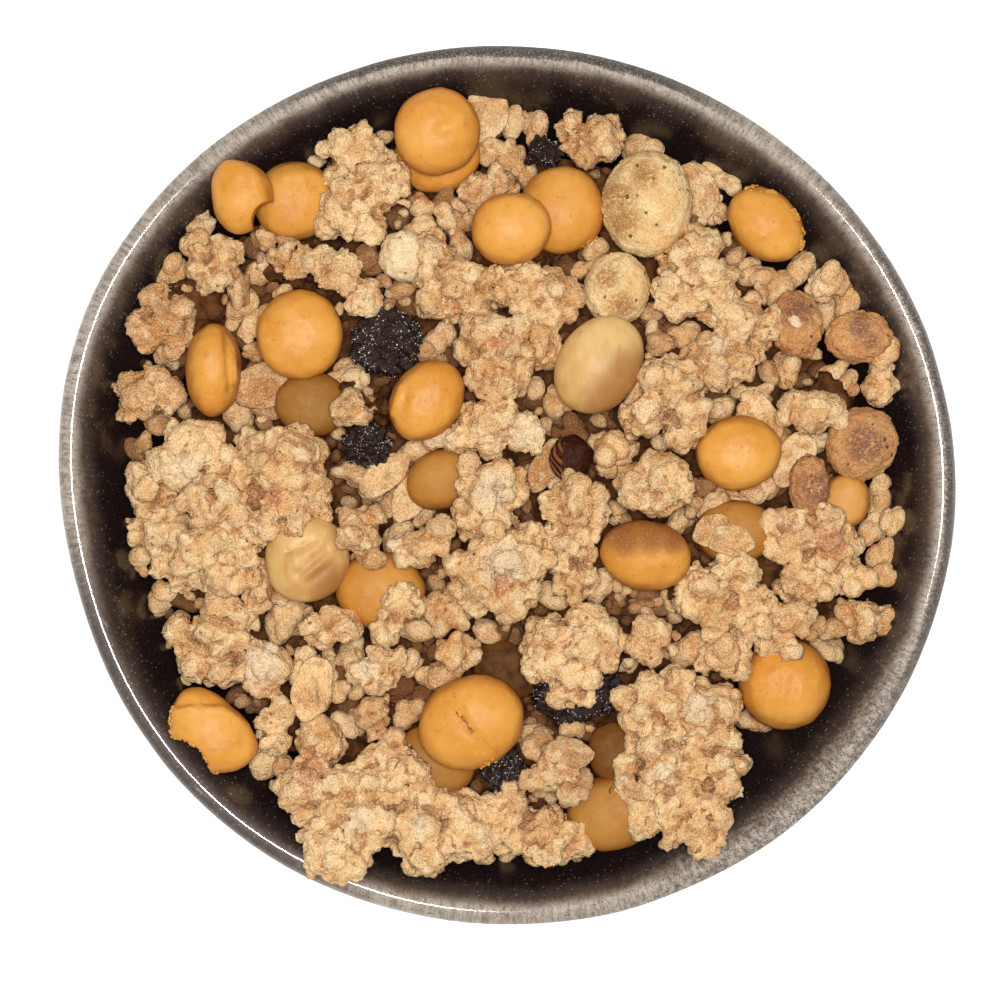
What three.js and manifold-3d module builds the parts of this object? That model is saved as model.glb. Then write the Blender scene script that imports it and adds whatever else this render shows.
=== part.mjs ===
// A hand-thrown stoneware bowl, heaped with granola: baked oat clusters, caramel-coated drops, pale nuts
// and puffs, toasted puffs and dried berries. Millimetres, +Z up. The origin is under the middle of the foot.

import * as THREE from 'three';
import { mergeVertices } from 'three/addons/utils/BufferGeometryUtils.js';
import Module from 'manifold-3d';

const wasm = await Module();
wasm.setup();

// The bowl: the middle line of its wall is a curve that starts flat at FLOOR_MIDDLE and steepens to the rim.
const RIM_RADIUS = 66.8;
const BOWL_HEIGHT = 58;
const WALL = 4.2;
const SECTION_POWER = 2.4;
const FLOOR_MIDDLE = 4.9;

// Its foot ring, with a bevel of FOOT_EDGE on both sides, a hollow inside and a side that rises into the wall
const FOOT_RADIUS = 28;
const FOOT_WIDTH = 3.6;
const FOOT_EDGE = 0.7;
const FOOT_HOLLOW = 3.2;
const FOOT_SIDE = 6;

// How far the hand-made rim stands out of round: an oval, and swellings with a middle angle, a spread
// and a height
const OVAL = 0.83;
const OVAL_ANGLE = 167;
const SWELLINGS = [
  { angle: 152, spread: 24, height: 1.0 },
  { angle: 196, spread: 20, height: -1.2 },
  { angle: 12, spread: 24, height: 0.5 },
];

// The rim also rises and falls a little, and leans sideways off the foot
const RIM_WAVE = 0.35;
const RIM_WAVES = 3;
const RIM_WAVE_START = 40;
const RIM_LEAN = -0.36;

// The loose granola: a low dome with bumps, that falls by HEAP_FALL at HEAP_SPAN from its middle, and two
// hollows at the front right
const HEAP_MIDDLE = 58.5;
const HEAP_FALL = 10;
const HEAP_POWER = 2.5;
const HEAP_SPAN = 57;
const HEAP_BUMP = 0.7;
const BUMPS_PER_MM = 7;
const HOLLOWS = [
  { x: 41, y: -41, spread: 11, depth: 9 },
  { x: 1, y: -30, spread: 8, depth: 3 },
];

// Facets round the bowl, and along each stretch of the two sections
const TURNS = 36;
const WALL_STEPS = 6;
const LIP_STEPS = 3;
const INNER_STEPS = 8;
const HEAP_WALL_STEPS = 4;
const HEAP_TOP_STEPS = 8;

// Samples of the inner wall, and halvings of the search for the heap's edge
const WALL_SAMPLES = 40;
const HALVINGS = 30;

// Clearance between touching pieces, how far a surface may move when the slivers of a cut are cleared, and
// how near two vertices are the same one
const GAP = 0.35;
const SLIVER = 0.1;
const SAME = 1e-4;

// Single pieces: x, y, lift of the middle over the loose granola, length, width, height, turn, bend
const DROPS = [
  [-40.0, 43.2, 5.0, 11.3, 9.3, 8.0, 100, 0.25],
  [-32.0, 42.8, 1.5, 12.8, 12.2, 8.5, 60, 0],
  [-10.5, 53.0, 9.0, 13.8, 13.4, 9.0, 20, 0],
  [-10.5, 49.6, 0.5, 13.0, 11.0, 6.5, 0, 0],
  [0.6, 38.3, 7.5, 12.2, 11.1, 8.5, 10, 0],
  [8.2, 41.3, 1.5, 13.4, 13.0, 8.5, 80, 0],
  [-31.0, 22.5, 5.5, 13.7, 13.5, 8.0, 30, 0],
  [-44.1, 17.3, 3.5, 14.1, 8.3, 12.0, 90, 0],
  [-12.0, 12.6, 5.0, 13.5, 10.5, 9.0, 60, 0],
  [38.9, 39.2, 3.0, 13.6, 10.4, 8.5, -45, 0],
  [34.7, 4.8, 4.0, 13.0, 11.3, 8.5, 10, 0],
  [20.7, -10.5, 5.5, 13.8, 10.7, 9.0, -10, 0],
  [34.2, -7.0, 1.5, 12.0, 9.6, 8.0, 0, 0],
  [41.9, -30.0, 4.0, 14.0, 13.8, 13.4, 0, 0],
  [-5.3, -35.5, 7.0, 16.7, 14.0, 10.5, 20, 0],
  [-44.1, -36.8, 4.0, 15.4, 11.0, 8.0, -42, 0.3],
  [15.5, -49.5, 2.5, 13.2, 11.5, 8.5, 10, 0],
  [-19.0, -15.8, 1.5, 13.5, 11.5, 9.0, 0, 0],
  [-29.3, 12.2, 0.5, 11.0, 10.0, 7.5, 0, 0],
  [-10.0, 0.8, 1.0, 11.0, 9.0, 7.5, 20, 0],
  [51.0, -2.4, 2.0, 8.5, 7.5, 6.5, 80, 0],
  [-11.0, -41.5, 0.5, 13.0, 11.0, 7.5, 0, 0],
  [-0.4, -27.8, 0.5, 10.5, 8.5, 6.5, -30, 0],
  [16.2, -40.2, 1.0, 9.0, 8.0, 7.0, 90, 0],
];
const NUTS = [
  [13.7, 17.9, 6.0, 14.7, 13.5, 9.5, 85, 0],
  [-29.9, -11.0, 5.5, 13.7, 13.2, 9.5, 40, 0],
];
const PALE_PUFFS = [
  [20.9, 42.2, 4.0, 16.0, 13.8, 9.5, 85, 0],
  [16.4, 29.4, 3.0, 11.0, 10.0, 8.5, 80, 0],
  [-15.5, 34.2, 4.0, 7.7, 7.0, 6.5, 90, 0],
];
const TOASTED_PUFFS = [
  [43.5, 24.2, 4.0, 10.2, 8.0, 7.0, 100, 0],
  [53.0, 22.2, 4.0, 10.4, 7.5, 6.5, 0, 0],
  [53.4, 6.2, 4.5, 11.6, 10.6, 8.0, 60, 0],
  [45.4, 0.0, 4.0, 9.0, 6.0, 6.5, 90, 0],
];
const BERRIES = [
  [-18.0, 21.4, 4.0, 11.2, 10.4, 7.5, 20, 0],
  [-21.0, 5.9, 3.5, 7.5, 7.0, 6.0, 0, 0],
  [5.7, 50.0, 2.0, 5.7, 5.0, 4.5, 0, 0],
  [10.2, -30.8, 0.5, 14.0, 10.0, 7.5, 10, 0],
  [-0.6, -43.0, 1.5, 7.0, 6.5, 6.0, 0, 0],
];
const SEEDS = [
  [9.6, 4.2, 4.0, 7.0, 6.4, 5.5, 60, 0],
];

// Where along a bent piece's half length it crosses its own axis, squared
const BEND_CROSSING = 0.4;

// Baked clusters, from the highest down: how far their lobes stand over the loose granola, and the x, y
// and radius of each lobe
const CLUSTERS = [
  { lift: 6, lobes: [[-30.3, -46, 4.8], [-28.5, -54.8, 4.9], [-23.5, -48.5, 6.4], [-17, -45, 6.2],
    [-16.5, -52.3, 5.8], [-10, -51, 5.6]] },
  { lift: 6, lobes: [[-40, 1.5, 5.2], [-32.5, 3, 5.2], [-31, -3.6, 4.5], [-38.3, -5.3, 5.2]] },
  { lift: 7, lobes: [[-1, 0, 4.2], [-3.3, -5.3, 4.4], [1.4, -11, 5.2], [-4, -14.3, 4.8], [0.5, -17, 3.6]] },
  { lift: 5.5, lobes: [[22.4, -33.4, 5], [29, -34.8, 5.6], [21.5, -41.5, 5.4], [30, -42.8, 5.9],
    [21.5, -48.2, 3.8], [28, -49.6, 5.2]] },
  { lift: 4, lobes: [[-1.4, -49.5, 4.4], [5.7, -52.8, 4.8], [9.2, -53.5, 3.6]] },
  { lift: 5, lobes: [[12.5, -23.3, 4.5], [7.2, -25.5, 4.8], [11, -29.3, 4], [8.5, -32.3, 2.4]] },
  { lift: 5, lobes: [[29, -15.8, 4.2], [34.2, -13.5, 3.9], [36.5, -18.8, 4], [31.2, -19.5, 3.4]] },
  { lift: 5, lobes: [[-22.8, 48, 4.8], [-19, 45, 4.2], [-23.5, 41.3, 4.5], [-19.8, 38.6, 3]] },
  { lift: 4.5, lobes: [[41.7, -7.5, 4.2], [47.7, -8.3, 4.5], [45.3, -14.3, 3.9], [50.5, -13.5, 2.8]] },
  { lift: 4.5, lobes: [[35.7, 23.3, 4.8], [31.2, 18, 4.8], [23.9, 14.3, 4.8], [20.2, 10.5, 4],
    [27, 9, 3.5]] },
  { lift: 5, lobes: [[10.2, -3, 4.4], [9.5, -9, 4.2], [10.6, -14.3, 3.2]] },
  { lift: 4.5, lobes: [[-3.3, 22.5, 4.2], [3, 20.5, 4.2], [-1, 16.5, 3.8]] },
  { lift: 4.5, lobes: [[1.2, 30.6, 4.2], [6.5, 27.6, 4.1]] },
  { lift: 4.5, lobes: [[27.5, 33.8, 4.2], [31.2, 29.3, 4.4], [26, 27.8, 3.3]] },
  { lift: 4, lobes: [[-7.8, 8.3, 3.6], [-2.5, 9, 4.2], [2.7, 7.5, 3.2]] },
  { lift: 4, lobes: [[-47.5, -24, 3.9], [-43.8, -27, 4.2], [-42.3, -21.8, 3.8], [-36.8, -27, 3.8]] },
  { lift: 3.5, lobes: [[-11.5, 33.6, 4.1], [-7, 29.3, 4.4], [-10.8, 27.6, 3]] },
  { lift: 4, lobes: [[-53, -0.8, 3.9], [-51, -6.8, 4.8], [-48.3, -12.8, 3.8]] },
  { lift: 3, lobes: [[10.2, 51.6, 3], [14, 52.3, 3.6]] },
];

// Lumps that are part of the loose granola: x, y and radius
const LUMPS = [
  [-45.3, 34.5, 3.9], [-42.3, 29.6, 3.7], [-48.6, 26.6, 4.4], [-49.6, 21.4, 3.9], [-34.8, 35.3, 3.6],
  [-29.8, 32.6, 3.6], [-25.2, 29.6, 3.6], [-20.5, 32.3, 3.9], [-52.2, 13.4, 4], [-47, 5, 4.2],
  [-41.5, -12, 4.2], [-10.6, -8.8, 4], [19.2, 0.8, 4.4], [25.2, -0.8, 4.2], [45.9, 11.5, 4.4],
  [52.2, 14.2, 3.6], [50.4, -19.2, 3.8], [-34.5, -36, 3.8], [-33, -41, 3.6], [-22, -6.8, 3.9],
  [21.9, -23.3, 3.9], [42.5, -19.7, 3.8], [-26, -21, 4], [-19.5, -27.6, 4], [-22.8, 11.3, 3.5],
  [7, -41.8, 4.6], [30, -24.6, 3.8], [46.6, 31.8, 3.6],
];
const LUMP_LIFT = 1.6;

// A lobe is a 20-sided ball: its height to its width, how uneven its corners are, and the steepest that the
// lobes of one cluster step down
const LOBE_HEIGHT = 0.86;
const LUMPINESS = 0.09;
const CLUSTER_SLOPE = 0.4;

// How far out the corners of a 20-sided ball lie when it fits round a unit ball, and when it is as large
const BALL_AROUND = 1.26;
const LOBE_CORNER = 1.15;

// Keeps each lobe's corners apart from the next one's in the row of chances
const CHANCES_PER_LOBE = 97;
const LOBES_PER_CLUSTER = 10;

// Finishes
const finish = (color, roughness) => new THREE.MeshStandardMaterial({ color, roughness, metalness: 0 });
const GLAZE = finish(0x2a2326, 0.3);
const GRANOLA = finish(0x9c6f43, 0.85);
const BAKED = finish(0xc9a070, 0.85);
const CARAMEL = finish(0xe5a048, 0.45);
const NUT = finish(0xe4c489, 0.6);
const PALE = finish(0xd6b888, 0.85);
const TOASTED = finish(0x9a6638, 0.8);
const BERRY = finish(0x1d1418, 0.4);
const SEED = finish(0x6b4023, 0.5);

// ---- The bowl's section ----

const midRadius = RIM_RADIUS - WALL / 2;
const midHeight = BOWL_HEIGHT - WALL / 2;
const sectionRise = midHeight - FLOOR_MIDDLE;

// A point of the section at radius r of the wall's middle line, moved off that line, inwards when positive
function wallPoint(r, off) {
  const share = r / midRadius;
  const slope = SECTION_POWER * sectionRise / midRadius * share ** (SECTION_POWER - 1);
  const run = Math.hypot(1, slope);
  const height = FLOOR_MIDDLE + sectionRise * share ** SECTION_POWER;
  return new THREE.Vector2(r - off * slope / run, height + off / run);
}

// The half round lip, from the outer wall over to the inner wall
function lipPoints(radius) {
  const start = wallPoint(midRadius, -radius);
  const angle = Math.atan2(start.y - midHeight, start.x - midRadius);
  return steps(1, LIP_STEPS, LIP_STEPS + 1).map((share) => new THREE.Vector2(
    midRadius + radius * Math.cos(angle + share * Math.PI),
    midHeight + radius * Math.sin(angle + share * Math.PI),
  ));
}

// The shares first/count to last/count
function steps(first, last, count) {
  return Array.from({ length: last - first + 1 }, (_, i) => (first + i) / count);
}

// The bowl's closed section from the axis under the floor, round the foot and the lip, to the axis inside
function bowlSection(grow) {
  const half = WALL / 2 + grow;
  const footInner = FOOT_RADIUS - FOOT_WIDTH;
  const foot = [[0, FOOT_HOLLOW], [footInner - FOOT_EDGE, FOOT_HOLLOW], [footInner, FOOT_EDGE],
    [footInner + FOOT_EDGE, 0], [FOOT_RADIUS - FOOT_EDGE, 0], [FOOT_RADIUS, FOOT_EDGE],
    [FOOT_RADIUS + FOOT_EDGE / 2, FOOT_SIDE]].map(([r, z]) => new THREE.Vector2(r, z));
  const outer = steps(0, WALL_STEPS, WALL_STEPS)
    .map((share) => wallPoint(FOOT_RADIUS + share * (midRadius - FOOT_RADIUS), -half));
  const inner = steps(0, INNER_STEPS, INNER_STEPS)
    .map((share) => wallPoint(midRadius * (1 - share), half));
  return [...foot, ...outer, ...lipPoints(half), ...inner];
}

// ---- Out of round ----

function outOfRound(degrees) {
  const oval = OVAL * Math.cos(2 * THREE.MathUtils.degToRad(degrees - OVAL_ANGLE));
  return SWELLINGS.reduce((sum, { angle, spread, height }) => {
    const away = ((degrees - angle + 540) % 360 + 360) % 360 - 180;
    return sum + height * Math.exp(-((away / spread) ** 2));
  }, oval);
}

// Moves a point of the true bowl to its place in the hand-made one; the foot stays true
function handMade(point) {
  const degrees = THREE.MathUtils.radToDeg(Math.atan2(point.y, point.x));
  const share = (Math.max(point.z, 0) / BOWL_HEIGHT) ** 2;
  const scale = 1 + outOfRound(degrees) * share / RIM_RADIUS;
  const turn = THREE.MathUtils.degToRad(RIM_WAVES * degrees + RIM_WAVE_START);
  const wave = RIM_WAVE * Math.sin(turn) * share * share;
  return new THREE.Vector3(point.x * scale + RIM_LEAN * share, point.y * scale, point.z + wave);
}

// ---- Solids ----

// Keeps only the places of a geometry's vertices, with the shared ones merged
function bare(geometry) {
  geometry.deleteAttribute('normal');
  geometry.deleteAttribute('uv');
  return mergeVertices(geometry, SAME);
}

function solidFrom(geometry) {
  return new wasm.Manifold(new wasm.Mesh({
    numProp: 3,
    vertProperties: new Float32Array(geometry.attributes.position.array),
    triVerts: new Uint32Array(geometry.index.array),
  }));
}

function geometryFrom(solid) {
  const mesh = solid.getMesh();
  const geometry = new THREE.BufferGeometry();
  geometry.setAttribute('position', new THREE.BufferAttribute(mesh.vertProperties, 3));
  geometry.setIndex(new THREE.BufferAttribute(mesh.triVerts, 1));
  geometry.computeVertexNormals();
  return geometry;
}

// The largest of the bodies that a cut left
function largest(solid) {
  const bodies = solid.simplify(SLIVER).decompose();
  return bodies.reduce((best, body) => (body.volume() > best.volume() ? body : best));
}

// A surface turned about Z, whose vertex j on turn i is placed by a function of its angle and j
function turned(count, place) {
  const profile = steps(0, count - 1, count - 1).map((share) => new THREE.Vector2(1, share));
  const geometry = new THREE.LatheGeometry(profile, TURNS).rotateX(Math.PI / 2);
  const position = geometry.attributes.position;
  for (let i = 0; i <= TURNS; i++) {
    const angle = (i % TURNS) / TURNS * 2 * Math.PI - Math.PI / 2;
    for (let j = 0; j < count; j++) {
      const point = handMade(place(angle, j));
      position.setXYZ(i * count + j, point.x, point.y, point.z);
    }
  }
  return withoutFlats(bare(geometry));
}

// Drops the triangles that have shrunk to a line at the axis
function withoutFlats(geometry) {
  const index = Array.from(geometry.index.array);
  const kept = [];
  for (let i = 0; i < index.length; i += 3) {
    const [a, b, c] = index.slice(i, i + 3);
    if (a !== b && b !== c && c !== a) kept.push(a, b, c);
  }
  geometry.setIndex(kept);
  return geometry;
}

function around(angle, radius, z) {
  return new THREE.Vector3(radius * Math.cos(angle), radius * Math.sin(angle), z);
}

function bowlSolid(grow = 0) {
  const section = bowlSection(grow);
  return solidFrom(turned(section.length, (angle, j) => around(angle, section[j].x, section[j].y)));
}

// ---- The loose granola ----

function heapTop(x, y) {
  const fall = HEAP_FALL * (Math.hypot(x, y) / HEAP_SPAN) ** HEAP_POWER;
  return HOLLOWS.reduce((top, hollow) => {
    const away = Math.hypot(x - hollow.x, y - hollow.y) / hollow.spread;
    return top - hollow.depth * Math.exp(-away * away);
  }, HEAP_MIDDLE - fall);
}

// A number from 0 to 1 that looks random but is the same each time: the far digits of a large sine wave
function chance(seed) {
  const wave = Math.sin(seed * 12.9898 + 4.1414) * 43758.5453;
  return wave - Math.floor(wave);
}

// The wall's middle-line radius at which the loose granola meets the inside, by halving
function heapEdge(angle) {
  let low = 0;
  let high = midRadius;
  for (let i = 0; i < HALVINGS; i++) {
    const middle = (low + high) / 2;
    const wall = wallPoint(middle, WALL / 2 + GAP);
    const top = heapTop(wall.x * Math.cos(angle), wall.x * Math.sin(angle));
    if (wall.y < top) low = middle;
    else high = middle;
  }
  return low;
}

function bump(x, y) {
  const column = Math.round(x * BUMPS_PER_MM);
  const row = Math.round(y * BUMPS_PER_MM);
  return HEAP_BUMP * (2 * chance(column + TURNS * row) - 1);
}

// The heap up from the floor along the wall, then in over its bumpy top. With a lift, only the top is higher.
function heapSolid(lift = 0) {
  const last = HEAP_WALL_STEPS + HEAP_TOP_STEPS;
  return solidFrom(turned(last + 1, (angle, j) => {
    const edge = heapEdge(angle);
    if (j <= HEAP_WALL_STEPS) {
      const wall = wallPoint(edge * j / HEAP_WALL_STEPS, WALL / 2 + GAP);
      return around(angle, wall.x, wall.y + (j === HEAP_WALL_STEPS ? lift : 0));
    }
    const inwards = (j - HEAP_WALL_STEPS) / HEAP_TOP_STEPS;
    const radius = wallPoint(edge, WALL / 2 + GAP).x * (1 - inwards);
    const point = around(angle, radius, 0);
    point.z = heapTop(point.x, point.y) + lift + bump(point.x, point.y);
    return point;
  }));
}

// ---- Pieces ----

// The lowest middle height at which a round piece of these half sizes clears the wall and the lip
function restOnWall(distance, halfSpan, halfHeight) {
  const inside = steps(0, WALL_SAMPLES, WALL_SAMPLES).map((share) => wallPoint(midRadius * share, WALL / 2));
  return Math.max(...[...lipPoints(WALL / 2), ...inside].map((wall) => {
    const off = Math.abs(wall.x - distance) / (halfSpan + GAP);
    return off < 1 ? wall.y + GAP + (halfHeight + GAP) * Math.sqrt(1 - off * off) : 0;
  }));
}

function settle(x, y, lift, halfSpan, halfHeight) {
  return Math.max(heapTop(x, y) + lift, restOnWall(Math.hypot(x, y), halfSpan, halfHeight));
}

// A rounded piece of the given length, width and height, bent sideways at its ends
function roundPiece([x, y, lift, length, width, height, turn, bend], grow = 0, coarse = false) {
  const ball = coarse ? new THREE.IcosahedronGeometry(BALL_AROUND, 0) : new THREE.IcosahedronGeometry(1, 1);
  const geometry = bare(ball);
  const position = geometry.attributes.position;
  for (let i = 0; i < position.count; i++) {
    const along = position.getX(i);
    position.setY(i, position.getY(i) + bend * (along * along - BEND_CROSSING));
  }
  const z = settle(x, y, lift, (length + width) / 4, height / 2);
  geometry.scale(length / 2 + grow, width / 2 + grow, height / 2 + grow);
  geometry.rotateZ(THREE.MathUtils.degToRad(turn));
  geometry.translate(x, y, z);
  return solidFrom(geometry);
}

// One uneven lobe of a baked cluster, with its middle at height z
function lobe([x, y, radius], z, seed, grow = 0) {
  const geometry = bare(new THREE.IcosahedronGeometry(LOBE_CORNER, 0));
  const position = geometry.attributes.position;
  for (let i = 0; i < position.count; i++) {
    const size = 1 + LUMPINESS * (2 * chance(seed * CHANCES_PER_LOBE + i) - 1);
    position.setXYZ(i, position.getX(i) * size, position.getY(i) * size, position.getZ(i) * size);
  }
  geometry.rotateX(seed).rotateZ(seed * 2);
  geometry.scale(radius + grow, radius + grow, radius * LOBE_HEIGHT + grow);
  geometry.translate(x, y, z);
  return solidFrom(geometry);
}

// A cluster is one stiff lump, so its lobes fall away from the highest one by no more than a gentle slope
function clusterSolid({ lift, lobes }, number, grow = 0) {
  const reach = 1 + LUMPINESS;
  const heights = lobes.map(([x, y, radius]) => settle(
    x, y, lift, radius * reach, radius * LOBE_HEIGHT * reach,
  ));
  const highest = Math.max(...heights);
  const [topX, topY] = lobes[heights.indexOf(highest)];
  return lobes.map((entry, i) => {
    const slope = highest - CLUSTER_SLOPE * Math.hypot(entry[0] - topX, entry[1] - topY);
    return lobe(entry, Math.max(heights[i], slope), number * LOBES_PER_CLUSTER + i, grow);
  }).reduce((sum, next) => sum.add(next));
}

// ---- Assembly ----

const HARD = [
  { kind: 'drop', rows: DROPS, material: CARAMEL },
  { kind: 'nut', rows: NUTS, material: NUT },
  { kind: 'pale_puff', rows: PALE_PUFFS, material: PALE },
  { kind: 'toasted_puff', rows: TOASTED_PUFFS, material: TOASTED },
  { kind: 'berry', rows: BERRIES, material: BERRY },
  { kind: 'seed', rows: SEEDS, material: SEED },
];
const group = new THREE.Group();

function addNode(name, solid, material) {
  const mesh = new THREE.Mesh(geometryFrom(solid), material);
  mesh.name = name;
  group.add(mesh);
}

function numbered(kind, i) {
  return `${kind}_${String(i + 1).padStart(2, '0')}`;
}

// A solid less all the pieces whose boxes reach it
function cutBy(solid, pieces) {
  const box = solid.boundingBox();
  return pieces.reduce((rest, piece) => {
    const other = piece.boundingBox();
    const apart = [0, 1, 2].some((k) => box.min[k] > other.max[k] || other.min[k] > box.max[k]);
    return apart ? rest : rest.subtract(piece);
  }, solid);
}

addNode('bowl', bowlSolid(), GLAZE);

// Later pieces give way to earlier ones, and all of them to the bowl
const bowlClearance = bowlSolid(GAP);
const hardClearances = [];
const hollowsOfHeap = [];
for (const { kind, rows, material } of HARD) {
  rows.forEach((row, i) => {
    const piece = cutBy(roundPiece(row), [bowlClearance, ...hardClearances]);
    addNode(numbered(kind, i), largest(piece), material);
    hardClearances.push(roundPiece(row, GAP));
    hollowsOfHeap.push(roundPiece(row, GAP, true));
  });
}

// The clusters lie on the loose granola
const heapClearance = heapSolid(GAP);
const clusterClearances = [];
CLUSTERS.forEach((cluster, i) => {
  const others = [bowlClearance, heapClearance, ...hardClearances, ...clusterClearances];
  addNode(numbered('cluster', i), largest(cutBy(clusterSolid(cluster, i), others)), BAKED);
  clusterClearances.push(clusterSolid(cluster, i, GAP));
});

// The lumps of the loose granola fit in between all these
const loose = cutBy(heapSolid(), hollowsOfHeap);
const heap = LUMPS.reduce((sum, entry, i) => {
  const [x, y, radius] = entry;
  const z = settle(x, y, LUMP_LIFT, radius, radius * LOBE_HEIGHT);
  return sum.add(cutBy(lobe(entry, z, i), [bowlClearance, ...hollowsOfHeap, ...clusterClearances]));
}, loose);
addNode('granola_heap', largest(heap), GRANOLA);

export default group;
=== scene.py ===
import math
import random

import bmesh
import bpy
import numpy as np
from mathutils import Matrix, Vector, noise
from mathutils.bvhtree import BVHTree


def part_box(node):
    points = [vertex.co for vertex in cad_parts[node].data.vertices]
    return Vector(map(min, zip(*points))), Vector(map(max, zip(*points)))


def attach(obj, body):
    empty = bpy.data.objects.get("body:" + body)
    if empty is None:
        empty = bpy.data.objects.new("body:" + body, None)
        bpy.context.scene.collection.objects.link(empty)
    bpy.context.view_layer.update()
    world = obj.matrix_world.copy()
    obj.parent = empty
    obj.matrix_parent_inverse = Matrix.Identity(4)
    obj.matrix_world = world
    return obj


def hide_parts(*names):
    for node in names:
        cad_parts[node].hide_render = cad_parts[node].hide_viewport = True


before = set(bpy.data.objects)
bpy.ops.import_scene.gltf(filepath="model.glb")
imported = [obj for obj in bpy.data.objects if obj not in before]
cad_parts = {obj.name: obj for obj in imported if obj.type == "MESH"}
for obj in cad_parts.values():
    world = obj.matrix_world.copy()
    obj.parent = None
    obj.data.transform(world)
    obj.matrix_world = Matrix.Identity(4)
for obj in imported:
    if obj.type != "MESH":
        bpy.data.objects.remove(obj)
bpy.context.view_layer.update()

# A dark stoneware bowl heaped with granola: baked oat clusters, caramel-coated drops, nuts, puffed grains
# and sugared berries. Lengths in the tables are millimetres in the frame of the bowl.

MM = 0.001
RIM_HEIGHT = 58.0
WALL = 4.2
LIP_RADIUS = 64.0

# The photo: its width in pixels, where the middle of the bowl lies on it, and the size of a pixel
PHOTO_WIDTH = 1001
BOWL_MIDDLE_PX = (507, 485)
PIXEL = 0.15

# ---- Places and features ----

# Folds and cracks of the drops and nuts: from x, y to x, y, depth (a ridge when negative) and width
FOLDS = {
    "drop_01": [(-43.5, 48.5, -38.0, 46.5, -0.35, 1.0), (-37.5, 45.5, -36.2, 41.5, -0.4, 1.0)],
    "drop_02": [(-33.5, 46.5, -29.0, 46.8, -0.25, 0.7), (-28.2, 46.2, -26.8, 43.5, -0.3, 0.7)],
    "drop_03": [(-13.6, 56.3, -11.0, 57.6, -0.22, 0.5), (-10.8, 57.6, -9.0, 56.6, -0.2, 0.5),
                (-9.5, 53.2, -7.0, 54.2, -0.35, 1.1)],
    "drop_07": [(-34.5, 25.5, -31.5, 27.0, -0.2, 0.6), (-32.5, 21.5, -28.5, 20.0, 0.3, 2.2)],
    "drop_08": [(-40.9, 20.5, -40.6, 15.5, -0.4, 0.5), (-42.0, 23.0, -41.4, 14.0, 0.35, 0.6)],
    "drop_09": [(-15.8, 14.6, -17.0, 10.5, -0.4, 0.6), (-14.8, 14.6, -16.0, 10.0, 0.3, 0.7)],
    "drop_14": [(42.9, -29.5, 42.3, -35.5, 0.35, 0.9), (40.6, -29.0, 39.8, -35.5, 0.2, 0.7)],
    "drop_15": [(-9.4, -32.2, -6.6, -34.4, 0.3, 0.6), (-6.6, -34.6, -5.3, -36.6, 0.5, 0.3),
                (-5.3, -36.6, -1.4, -40.0, 0.35, 0.6)],
    "drop_16": [(-50.0, -34.0, -47.5, -33.2, -0.3, 0.5), (-47.5, -33.2, -42.7, -33.4, -0.3, 0.5),
                (-42.7, -33.4, -38.5, -36.0, -0.25, 0.6), (-49.5, -32.8, -43.0, -32.3, 0.3, 0.6)],
    "drop_17": [(15.2, -47.0, 16.0, -45.4, 0.35, 0.4)],
    "drop_18": [(-21.5, -13.0, -19.5, -16.5, 0.15, 0.8)],
    "nut_02": [(-32.6, -10.0, -28.8, -8.4, 0.45, 0.6), (-31.2, -13.2, -26.9, -9.6, 0.5, 0.8),
               (-29.5, -14.5, -25.6, -11.4, 0.4, 0.7)],
    "nut_01": [(10.9, 22.0, 15.2, 12.2, -0.15, 1.6)],
}

# Fine creases and open cracks in the caramel: from x, y to x, y, and half width
CREASES = [(-10.0, -31.5, -6.6, -34.6, 0.25), (-5.2, -36.6, -1.2, -40.2, 0.25),
           (-49.5, -32.9, -43.5, -32.5, 0.3), (-16.6, 14.2, -17.4, 11.0, 0.25),
           (-41.1, 20.5, -40.8, 14.5, 0.25)]
CRACKS = [(-6.7, -34.7, -5.2, -36.6, 0.08), (-7.6, -33.7, -6.7, -34.7, 0.07),
          (15.3, -46.2, 15.8, -45.3, 0.10)]

# Places where an edge of a drop is bitten or broken away: x, y, radius
BITES = {"drop_01": [(-35.2, 39.4, 3.0)], "drop_16": [(-50.0, -43.5, 5.8)]}

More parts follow.
